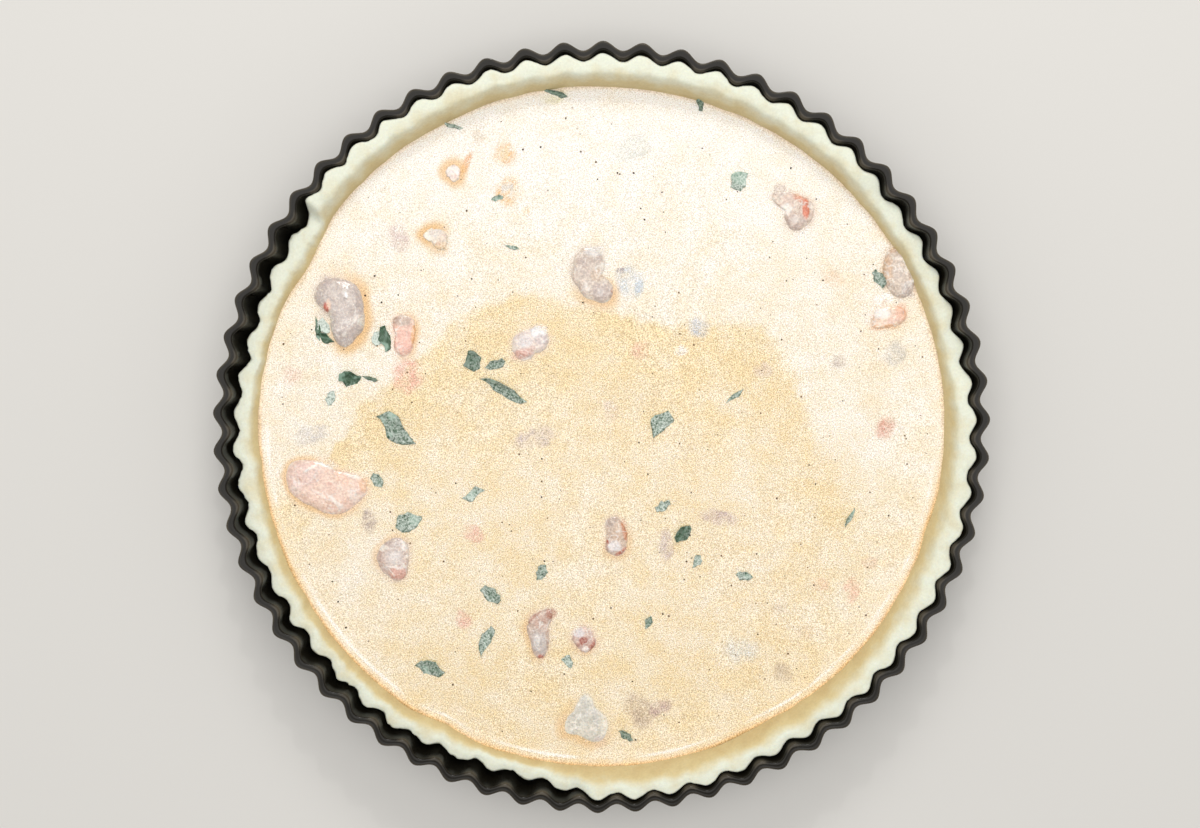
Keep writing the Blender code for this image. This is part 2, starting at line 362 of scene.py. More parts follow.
def liquid_custard(custard):
    """Cream, egg and cheese whisked to a fine foam: liquid, cream to amber, speckled by small bubbles, with
    painted shade in its amber at the pastry and beside pieces and a painted highlight along the meniscus.
    """
    material, tree, shader = new_material("liquid_custard")
    spot = add_node(tree, "TexCoord").outputs["Object"]
    warmth_and_highlight = add_node(tree, "Attribute", attribute_name="warmth_and_highlight")
    stain_and_shade = add_node(tree, "Attribute", attribute_name="stain_and_shade")
    sunk = add_node(tree, "Attribute", attribute_name="sunk")
    veil = add_node(tree, "Attribute", attribute_name="veil")
    cloud = add_node(tree, "TexNoise", {
        "Vector": spot, "Scale": 1 / (9 * MM), "Detail": 5.0,
        "Roughness": 0.6})
    # Foam bubbles are about 0.5 mm across, and the finer froth between them about 0.25 mm.
    foam = add_node(tree, "TexNoise", {
        "Vector": spot, "Scale": 1 / (0.55 * MM), "Detail": 3.0,
        "Roughness": 0.7})
    cells = add_node(tree, "TexVoronoi", {
        "Vector": spot, "Scale": 1 / (0.62 * MM)})
    shift = add_node(tree, "MapRange", {
        "Value": cloud.outputs["Fac"], "From Min": 0.3, "From Max": 0.7, "To Min": -0.24,
        "To Max": 0.24})
    froth = add_node(tree, "MapRange", {
        "Value": foam.outputs["Fac"], "From Min": 0.3, "From Max": 0.7, "To Min": -0.5,
        "To Max": 0.5})
    depth = add_node(tree, "MapRange", {
        "Value": warmth_and_highlight.outputs["Fac"], "To Min": 0.14, "To Max": 0.5})
    speckle = add_node(tree, "Math", {
        0: froth.outputs["Result"], 1: depth.outputs["Result"]}, operation="MULTIPLY")
    level = add_node(tree, "Math", {
        0: warmth_and_highlight.outputs["Fac"], 1: shift.outputs["Result"]}, operation="ADD")
    total = add_node(tree, "Math", {
        0: level.outputs[0], 1: speckle.outputs[0]}, operation="ADD")
    base = add_node(tree, "Mix", {
        "Factor": total.outputs[0], "A": custard.cream, "B": custard.egg}, data_type="RGBA")
    broken = add_node(tree, "MapRange", {
        "Value": foam.outputs["Fac"], "From Min": 0.35, "From Max": 0.62, "To Min": 0.35,
        "To Max": 1.5})
    seen = add_node(tree, "Math", {
        0: veil.outputs["Fac"], 1: broken.outputs["Result"]}, operation="MULTIPLY",
        use_clamp=True)
    # The sunk colour also carries the painted meniscus highlight.
    clouded = add_node(tree, "Mix", {
        "Factor": seen.outputs[0], "A": base.outputs["Result"], "B": sunk.outputs["Color"]},
        data_type="RGBA")
    # Amber stain, partly real custard and partly painted shade at the pastry and beside pieces.
    stained = add_node(tree, "Mix", {
        "Factor": stain_and_shade.outputs["Fac"], "A": clouded.outputs["Result"], "B": custard.stain_and_shade},
        data_type="RGBA")
    grain = add_node(tree, "TexNoise", {
        "Vector": spot, "Scale": 1 / (0.42 * MM), "Detail": 2.0})
    shadow = add_node(tree, "Math", {
        0: depth.outputs["Result"], 1: 1.05, 2: 0.34}, operation="MULTIPLY_ADD")
    swing = add_node(tree, "MapRange", {
        "Value": grain.outputs["Fac"], "From Min": 0.34, "From Max": 0.66, "To Min": -0.5,
        "To Max": 0.5})
    tinge = add_node(tree, "VectorMath", {
        0: shadow.outputs[0], 1: (0.9, 1.0, 1.2)}, operation="MULTIPLY")
    dimmed = add_node(tree, "VectorMath", {
        0: swing.outputs["Result"], 1: tinge.outputs["Vector"], 2: (1.0, 1.0, 1.0)},
        operation="MULTIPLY_ADD")
    colour = add_node(tree, "VectorMath", {
        0: stained.outputs["Result"], 1: dimmed.outputs["Vector"]}, operation="MULTIPLY")
    height = add_node(tree, "Math", {
        0: cells.outputs["Distance"], 1: foam.outputs["Fac"]}, operation="ADD")
    bump = add_node(tree, "Bump", {
        "Height": height.outputs[0], "Strength": 0.22, "Distance": 0.12 * MM})
    tree.links.new(colour.outputs["Vector"], shader.inputs["Base Color"])
    tree.links.new(bump.outputs["Normal"], shader.inputs["Normal"])
    shader.inputs["Roughness"].default_value = 0.34
    shader.inputs["Specular IOR Level"].default_value = 0.35
    shader.inputs["Subsurface Weight"].default_value = 0.2
    shader.inputs["Subsurface Radius"].default_value = (1.0, 0.85, 0.6)
    shader.inputs["Subsurface Scale"].default_value = 1.0 * MM
    return material


def wet_flesh(name, crease_colour, film_colour, pattern_size):
    """Raw moist seafood, clouded and soft to light, under custard that closes over its low parts; painted
    highlights lie in the colour of some pieces.
    """
    material, tree, shader = new_material(name)
    spot = add_node(tree, "TexCoord").outputs["Object"]
    tint = add_node(tree, "Attribute", attribute_name="tint")
    film = add_node(tree, "Attribute", attribute_name="film")
    crease = add_node(tree, "Attribute", attribute_name="crease")
    cloud = add_node(tree, "TexNoise", {
        "Vector": spot, "Scale": 1 / pattern_size, "Detail": 4.0,
        "Distortion": 0.8})
    froth = add_node(tree, "TexNoise", {
        "Vector": spot, "Scale": 1 / (0.8 * MM), "Detail": 3.0,
        "Roughness": 0.7})
    shade = add_node(tree, "MapRange", {
        "Value": cloud.outputs["Fac"], "From Min": 0.3, "From Max": 0.7, "To Min": 0.84,
        "To Max": 1.08})
    fleck = add_node(tree, "MapRange", {
        "Value": froth.outputs["Fac"], "From Min": 0.3, "From Max": 0.7, "To Min": 0.80,
        "To Max": 1.16})
    both = add_node(tree, "Math", {
        0: shade.outputs["Result"], 1: fleck.outputs["Result"]}, operation="MULTIPLY")
    mottled = add_node(tree, "VectorMath", {
        0: tint.outputs["Color"], 1: both.outputs[0]}, operation="MULTIPLY")
    depth = add_node(tree, "Math", {
        0: crease.outputs["Fac"], 1: cloud.outputs["Fac"]}, operation="MULTIPLY")
    lined = add_node(tree, "Mix", {
        "Factor": depth.outputs[0], "A": mottled.outputs["Vector"], "B": crease_colour},
        data_type="RGBA")
    patchy = add_node(tree, "MapRange", {
        "Value": froth.outputs["Fac"], "From Min": 0.3, "From Max": 0.7, "To Min": -0.45,
        "To Max": 0.45})
    veil = add_node(tree, "Math", {
        0: film.outputs["Fac"], 1: patchy.outputs["Result"]}, operation="ADD", use_clamp=True)
    thin = add_node(tree, "Math", {0: veil.outputs[0], 1: 0.9}, operation="MULTIPLY")
    colour = add_node(tree, "Mix", {
        "Factor": thin.outputs[0], "A": lined.outputs["Result"], "B": film_colour},
        data_type="RGBA")
    bump = add_node(tree, "Bump", {
        "Height": cloud.outputs["Fac"], "Strength": 0.35, "Distance": 0.3 * MM})
    tree.links.new(colour.outputs["Result"], shader.inputs["Base Color"])
    tree.links.new(bump.outputs["Normal"], shader.inputs["Normal"])
    shader.inputs["Roughness"].default_value = 0.2
    shader.inputs["Subsurface Weight"].default_value = 0.25
    shader.inputs["Subsurface Radius"].default_value = (1.0, 0.7, 0.5)
    shader.inputs["Subsurface Scale"].default_value = 1.2 * MM
    shader.inputs["Coat Weight"].default_value = 0.4
    shader.inputs["Coat Roughness"].default_value = 0.1
    return material


def basil_leaf(herbs, custard):
    """Fresh torn basil: dark and satin above, pale beneath, veined, hazed blue-green under custard."""
    material, tree, shader = new_material("basil_leaf")
    spot = add_node(tree, "TexCoord").outputs["Object"]
    vein = add_node(tree, "Attribute", attribute_name="vein")
    haze = add_node(tree, "Attribute", attribute_name="haze")
    back = add_node(tree, "Attribute", attribute_name="back")
    patch = add_node(tree, "TexNoise", {
        "Vector": spot, "Scale": 1 / (1.6 * MM), "Detail": 4.0})
    froth = add_node(tree, "TexNoise", {
        "Vector": spot, "Scale": 1 / (0.7 * MM), "Detail": 3.0,
        "Roughness": 0.7})
    darker = add_node(tree, "MapRange", {
        "Value": patch.outputs["Fac"], "From Min": 0.3, "From Max": 0.7, "To Min": 0.6,
        "To Max": 1.25})
    green = add_node(tree, "VectorMath", {
        0: herbs.leaf[:3], 1: darker.outputs["Result"]}, operation="MULTIPLY")
    veined = add_node(tree, "Mix", {
        "Factor": vein.outputs["Fac"], "A": green.outputs["Vector"], "B": herbs.back},
        data_type="RGBA")
    sided = add_node(tree, "Mix", {
        "Factor": back.outputs["Fac"], "A": veined.outputs["Result"], "B": herbs.back},
        data_type="RGBA")
    cover = add_node(tree, "MapRange", {
        "Value": froth.outputs["Fac"], "From Min": 0.35, "From Max": 0.65, "To Min": -0.5,
        "To Max": 0.5})
    spread = add_node(tree, "MapRange", {
        "Value": haze.outputs["Fac"], "From Max": 0.4, "To Min": 0.1})
    dotted = add_node(tree, "Math", {
        0: cover.outputs["Result"], 1: spread.outputs["Result"]}, operation="MULTIPLY")
    hazed = add_node(tree, "Math", {
        0: haze.outputs["Fac"], 1: dotted.outputs[0]}, operation="ADD")
    gated = add_node(tree, "Math", {
        0: hazed.outputs[0], 1: 0.96}, operation="MINIMUM", use_clamp=True)
    colour = add_node(tree, "Mix", {
        "Factor": gated.outputs[0], "A": sided.outputs["Result"], "B": linear("#dfe9df")},
        data_type="RGBA")
    bump = add_node(tree, "Bump", {
        "Height": patch.outputs["Fac"], "Strength": 0.4, "Distance": 0.2 * MM})
    tree.links.new(colour.outputs["Result"], shader.inputs["Base Color"])
    tree.links.new(bump.outputs["Normal"], shader.inputs["Normal"])
    shader.inputs["Roughness"].default_value = 0.35
    shader.inputs["Coat Weight"].default_value = 0.3
    return material


def ground_pepper(herbs):
    """Cracked peppercorn: near-black husk and brown meal, matt and uneven."""
    material, tree, shader = new_material("ground_pepper")
    spot = add_node(tree, "TexCoord").outputs["Object"]
    husk = add_node(tree, "TexNoise", {
        "Vector": spot, "Scale": 1 / (3.5 * MM), "Detail": 2.0})
    colour = add_node(tree, "ValToRGB", {"Fac": husk.outputs["Fac"]}, stops=(
        (0.42, herbs.pepper), (0.66, linear("#8a6a4a"))))
    tree.links.new(colour.outputs["Color"], shader.inputs["Base Color"])
    shader.inputs["Roughness"].default_value = 0.6
    return material


def foam_film(custard):
    """Skin of a custard bubble: pale, thin and glossy."""
    material, tree, shader = new_material("foam_film")
    spot = add_node(tree, "TexCoord").outputs["Object"]
    cloud = add_node(tree, "TexNoise", {
        "Vector": spot, "Scale": 1 / (4 * MM), "Detail": 3.0})
    colour = add_node(tree, "Mix", {
        "Factor": cloud.outputs["Fac"], "A": custard.cream, "B": custard.egg}, data_type="RGBA")
    tree.links.new(colour.outputs["Result"], shader.inputs["Base Color"])
    shader.inputs["Roughness"].default_value = 0.16
    return material


def studio_paper(stage):
    """Seamless background paper: matt, pale and even."""
    material, tree, shader = new_material("studio_paper")
    spot = add_node(tree, "TexCoord").outputs["Object"]
    fibre = add_node(tree, "TexNoise", {
        "Vector": spot, "Scale": 1 / (2 * MM), "Detail": 3.0})
    bump = add_node(tree, "Bump", {
        "Height": fibre.outputs["Fac"], "Strength": 0.05, "Distance": 0.05 * MM})
    tree.links.new(bump.outputs["Normal"], shader.inputs["Normal"])
    shader.inputs["Base Color"].default_value = stage.floor
    shader.inputs["Roughness"].default_value = 0.8
    return material


# ---- tin --------------------------------------------------------------------------------------
def flute_wave(tin, angle):
    """Flute wave: 1 on a crest, -1 in a trough, the same as the CAD wall's."""
    return np.cos(tin.flutes * (angle - tin.start))


def wall_radius(tin, height):
    """Mean radius of the tin's inner wall at a height."""
    return TIN_CREST - tin.depth - tin.lip - tin.slope * (TIN_HEIGHT - height)


def flute_depth(tin, height):
    """Half the height of the flutes at a height."""
    return tin.foot_depth + (tin.depth - tin.foot_depth) * height / TIN_HEIGHT


def arc(centre, radius, start, end, steps):
    """Points of an arc in the section plane, its ends in degrees from outwards to upwards."""
    turn = np.radians(np.linspace(start, end, steps))
    return np.stack([centre[0] + radius * np.cos(turn), centre[1] + radius * np.sin(turn)], 1)


def straight(start, end, steps):
    """Points evenly along a straight stretch of the section."""
    share = np.linspace(0, 1, steps)[:, None]
    return np.array(start) * (1 - share) + np.array(end) * share


class QUICHE_OT_tin(bpy.types.Operator):
    """Make the fluted tin: a section carried round the flutes, which are a cosine of the angle"""
    bl_idname = "quiche.make_tin"
    bl_label = "Tin"

    COLUMNS_PER_FLUTE = 16

    def execute(self, context):
        tin = context.scene.quiche_tin
        count = tin.flutes * self.COLUMNS_PER_FLUTE
        angle = tin.start + np.arange(count) * TAU / count
        bead = 0.6 * MM
        bend = 0.9 * MM
        rim = TIN_CREST - tin.depth
        under = TIN_HEIGHT - 2 * bead
        foot = wall_radius(tin, 0) + tin.sheet
        throat = wall_radius(tin, TIN_HEIGHT)
        section = np.vstack([
            straight((20 * MM, 0), (foot - 4 * MM, 0), 4),
            arc((foot - bend, bend), bend, -90, -15, 6),
            straight((wall_radius(tin, 3 * MM) + tin.sheet, 3 * MM),
                     (wall_radius(tin, under - bend) + tin.sheet, under - bend), 8),
            straight((wall_radius(tin, under) + tin.sheet + 0.5 * MM, under), (rim - bead, under), 4),
            arc((rim - bead, TIN_HEIGHT - bead), bead, -75, 90, 9),
            straight((rim - 1.2 * MM, TIN_HEIGHT - 0.12 * MM),
                     (throat + bend, TIN_HEIGHT - 0.12 * MM), 4),
            arc((throat + bend * 0.86, TIN_HEIGHT - bend - 0.12 * MM), bend, 105, 176, 6),
            straight((wall_radius(tin, TIN_HEIGHT - 2.4 * MM), TIN_HEIGHT - 2.4 * MM),
                     (wall_radius(tin, 2 * MM), 2 * MM), 10),
            straight((foot - 3 * MM, tin.sheet), (20 * MM, tin.sheet), 4),
        ])
        radius, height = section[:, :1], section[:, 1:]
        reach = smooth_step((radius - (foot - 6 * MM)) / (5 * MM))
        wave = flute_wave(tin, angle)[None]
        out = radius + flute_depth(tin, height) * reach * wave
        grid = np.stack([out * np.cos(angle), out * np.sin(angle), height + 0 * out], -1)
        points = wrapped_points(grid, (0, 0, 0), (0, 0, tin.sheet))
        near_lip = smooth_step((height - TIN_HEIGHT + 9 * MM) / (8 * MM))
        # Painted highlight on the flute ridges near the lip, and on the lip's outer edge, which is partly
        # bare metal.
        ridge = smooth_step((-wave - 0.1) / 0.8) * near_lip * (radius < rim - 2 * MM)
        bare_edge_and_sheen = smooth_step((radius - rim + 0.75 * MM) / (0.5 * MM)) * (height > under)
        wear_and_sheen = np.concatenate([[0], np.maximum(ridge * 0.7, bare_edge_and_sheen + 0 * wave).ravel(), [0]])
        lip = smooth_step((height - TIN_HEIGHT + 1.6 * MM) / (0.8 * MM)) * (radius > throat - 1 * MM)
        lip = np.concatenate([[0], (lip + 0 * wave).ravel(), [0]])
        add_piece("tin_shell", points, wrapped_faces(len(section), count), coated_steel(tin),
                  ("tin",), {"wear_and_sheen": wear_and_sheen, "lip": lip})
        return {"FINISHED"}


# ---- pastry -----------------------------------------------------------------------------------
# Stretches of the edge that slipped down or shrank from the wall, as in the CAD crust:
# from and to in degrees, softness of each end in degrees, drop and shrinkage in mm.
SLUMPS = (
    (8, 43, 9, 9, 3.0, 0.3),
    (142, 267, 2, 5, 4.2, 0.6),
    (142, 172, 2, 10, 0.3, 1.4),
    (205, 227, 6, 6, 0.0, 0.6),
    (240, 261, 6, 5, 0.4, 1.3),
    (291, 309, 6, 6, 1.2, 0.3),
)
FAR_RISE = (72, 139, 12, 2, 0.6)
# Bulges of the inner wall towards the middle: direction and width in degrees, depth in mm.
BULGES = ((150, 7, 3.4), (242, 4, 1.4), (297, 8, 1.2), (344, 3, 0.9), (75, 20, 0.6))


def edge_height(angle):
    """Height of the pastry's edge all round, lower where it slipped."""
    height = CRUST_TOP - 0.65 * MM + FAR_RISE[4] * MM * window(angle, *FAR_RISE[:4])
    for slump in SLUMPS:
        height = height - slump[4] * MM * window(angle, *slump[:4])
    return height


def edge_shrink(angle):
    """How far the pastry's edge has drawn back from the wall."""
    return sum(slump[5] * MM * window(angle, *slump[:4]) for slump in SLUMPS)


def pool_radius(pastry, angle):
    """Radius at which the custard meets the pastry."""
    dent = sum(depth * np.exp(-((turn_between(angle, centre) / width) ** 2))
               for centre, width, depth in BULGES)
    return pastry.pool - dent * MM


class QUICHE_OT_pastry(bpy.types.Operator):
    """Make the pastry case: a section carried round, with its height, shrinkage and bulges by angle"""
    bl_idname = "quiche.make_pastry"
    bl_label = "Pastry case"

    COLUMNS_PER_FLUTE = 14

    def execute(self, context):
        tin = context.scene.quiche_tin
        pastry = context.scene.quiche_pastry
        count = tin.flutes * self.COLUMNS_PER_FLUTE
        angle = tin.start + np.arange(count) * TAU / count
        wave = flute_wave(tin, angle)
        ring_x, ring_y = 0.13 * np.cos(angle), 0.13 * np.sin(angle)
        top = edge_height(angle) + 0.22 * MM * rough_noise(ring_x, ring_y, 7 * MM, 11)
        top = np.minimum(top, CRUST_TOP - 0.02 * MM)
        ragged = 0.42 + 0.6 * window(angle, 128, 262, 20, 20)
        tear = ragged * MM * rough_noise(ring_x, ring_y, 2.4 * MM, 21)
        shrink = edge_shrink(angle) + 0.25 * MM * (1 + rough_noise(ring_x, ring_y, 14 * MM, 31))
        pool = pool_radius(pastry, angle) + 0.35 * MM * rough_noise(ring_x, ring_y, 11 * MM, 41)
        foot_z = CRUST_FOOT
        rows = []
        soak_and_shade_rows = []

        def add_row(radius, height, soak_and_shade):
            rows.append(np.stack([radius * np.cos(angle), radius * np.sin(angle),
                                  height + 0 * angle], -1))
            soak_and_shade_rows.append(soak_and_shade + 0 * angle)

        def side(height):
            """Radius of the outer side at a height, one clearance inside the fluted wall."""
            lift = np.clip((height - foot_z) / (top - foot_z), 0, 1)
            depth = flute_depth(tin, height) * (0.93 - 0.1 * lift)
            return wall_radius(tin, height) - pastry.clearance - shrink * lift ** 3 + depth * wave

        for radius in np.linspace(30 * MM, 115 * MM, 3):
            add_row(radius + 0 * angle, foot_z, 0.2)
        add_row(side(foot_z) - 0.6 * MM, foot_z, 0.2)
        shoulder = top - 0.9 * MM
        for share in np.linspace(0.03, 1, 8):
            height = foot_z + (shoulder - foot_z) * share
            add_row(side(height) + tear * share ** 4 * 0.5, height, 0.2)
        brim = side(shoulder) + tear
        inner = brim - pastry.edge - flute_depth(tin, top) * wave * 0.55
        inner = inner + 0.3 * MM * rough_noise(ring_x, ring_y, 9 * MM, 51)
        for turn in np.radians(np.linspace(18, 90, 5)):
            add_row(brim - 0.9 * MM * (1 - np.cos(turn)), shoulder + 0.9 * MM * np.sin(turn), 0.02)
        crown = brim - 0.9 * MM
        for share in np.linspace(0.16, 0.84, 5):
            dome = 0.18 * MM * np.sin(np.pi * share)
            grain = 0.10 * MM * rough_noise(ring_x * (1 + share * 0.05),
                                            ring_y * (1 + share * 0.05), 2.5 * MM, 61)
            add_row(crown + (inner - crown) * share,
                    np.minimum(top + dome + grain, CRUST_TOP - 0.02 * MM), 0.04 + 0.08 * share)
        # The inner face is an S: round over the shoulder, straight, then fading into the custard.
        dents = 0.6 * MM * rough_noise(ring_x, ring_y, 13 * MM, 71)
        # The darkening down the inner face is partly painted shade; it spreads higher up the face between
        # south-west and south-east.
        spread = 1.5 - 0.85 * window(angle, 205, 322, 25, 25)
        for share in np.linspace(0.03, 1, 12):
            bow = np.sin(np.pi * share)
            radius = inner + (pool - inner) * share ** 0.85 - dents * bow
            drop = (top - CUSTARD_LEVEL) * (1 - np.cos(np.pi * share ** 1.15)) / 2
            fine = 0.08 * MM * rough_noise(ring_x * (1 + share * 0.06),
                                           ring_y * (1 + share * 0.06), 3 * MM, 81)
            add_row(radius + fine * bow, top - drop, 0.14 + 0.82 * share ** spread)
        for height in (15 * MM, 9 * MM):
            add_row(pool - (CUSTARD_LEVEL - height) * 0.5, height, 1.0)
        for radius in (100 * MM, 40 * MM):
            add_row(radius + 0 * angle, 5.8 * MM, 1.0)
        grid = np.array(rows)
        soak_and_shade = np.concatenate([[0], np.array(soak_and_shade_rows).ravel(), [1]])
        points = wrapped_points(grid, (0, 0, foot_z), (0, 0, 5.8 * MM))
        add_piece("pastry_case", points, wrapped_faces(len(rows), count), raw_shortcrust(pastry),
                  ("crust",), {"soak_and_shade": soak_and_shade})
        return {"FINISHED"}


# ---- seafood ----------------------------------------------------------------------------------
# Pieces that break the surface: node, shift of the outline's centre in x and y in mm, height above
# the custard in mm, film of custard left on it, its colour, and the outline's radius in mm in
# twelve directions, from +X round through +Y.
BODIES = (
    ("prawn_1", 0.0, 0.0, 2.4, 0.00, "#cfc1ba",
     (7.4, 8.0, 10.0, 11.5, 13.0, 11.8, 6.0, 5.4, 8.4, 12.4, 10.2, 8.8)),
    ("salmon_1", 0.0, 0.0, 1.3, 0.20, "#f0cdbb",
     (14.4, 9.2, 6.6, 7.6, 10.5, 15.0, 14.3, 10.9, 9.2, 10.2, 11.4, 12.4)),
    ("prawn_2", 0.0, 0.0, 0.9, 0.28, "#d5c3b6",
     (3.2, 3.6, 7.0, 10.0, 10.4, 9.0, 8.2, 7.2, 7.7, 8.6, 10.0, 7.6)),
    ("prawn_3", 3.0, 2.0, 1.3, 0.12, "#d6c3b3",
     (5.5, 5.0, 6.2, 9.0, 8.6, 6.3, 5.4, 6.0, 7.0, 8.9, 8.2, 6.7)),
    ("salmon_2", 0.0, 0.0, 0.8, 0.32, "#f0cdb4",
     (6.6, 6.8, 4.6, 3.9, 4.2, 4.9, 5.2, 6.1, 4.2, 3.6, 3.8, 5.0)),
    ("prawn_4", 0.1, 1.0, 0.9, 0.32, "#dcc3b5",
     (7.2, 6.3, 5.4, 5.5, 7.0, 9.0, 4.0, 3.8, 5.7, 7.6, 7.6, 7.4)),
    ("prawn_5", 0.0, 0.0, 1.0, 0.22, "#d8c1b5",
     (4.3, 5.2, 7.0, 7.8, 7.4, 7.5, 7.4, 6.8, 7.0, 7.8, 6.6, 4.5)),
    ("prawn_6", 0.0, 0.0, 1.0, 0.18, "#d1b8aa",
     (3.4, 4.2, 8.6, 7.0, 6.2, 4.9, 4.4, 4.5, 5.9, 10.1, 6.4, 4.0)),
    ("prawn_7", 0.0, 0.0, 0.8, 0.32, "#d9b9ad",
     (4.2, 4.0, 4.4, 4.8, 4.6, 4.4, 4.2, 3.8, 4.0, 4.8, 4.4, 4.6)),
    ("white_fish_1", 0.0, 0.0, 0.6, 0.20, "#d9d4c7",
     (7.2, 5.6, 5.6, 9.2, 6.8, 5.8, 7.6, 8.8, 6.6, 7.6, 9.2, 8.4)),
    ("prawn_8", 0.0, 0.0, 0.9, 0.28, "#e6d4cc",
     (6.2, 7.2, 7.0, 5.6, 5.0, 6.0, 6.4, 6.6, 6.4, 5.0, 3.6, 4.8)),
    ("prawn_9", 0.0, 0.0, 0.9, 0.26, "#d6bcaa",
     (4.5, 4.6, 5.4, 7.3, 6.4, 3.6, 3.2, 3.7, 6.0, 6.9, 6.6, 5.0)),
    ("prawn_10", 0.6, 1.0, 0.6, 0.40, "#f2ddd0",
     (2.8, 2.6, 2.8, 2.6, 2.4, 2.6, 2.8, 2.8, 2.6, 3.4, 3.2, 3.0)),
    ("prawn_11", -0.7, 1.2, 0.6, 0.45, "#e3d1bf",
     (4.2, 3.4, 2.6, 2.4, 2.8, 3.4, 4.4, 3.2, 2.8, 4.2, 5.8, 5.2)),
    ("salmon_3", 0.0, 0.0, 0.8, 0.26, "#f2c5b2",
     (4.3, 5.0, 6.4, 6.6, 6.2, 4.2, 2.8, 3.4, 6.2, 8.2, 6.4, 4.6)),
)
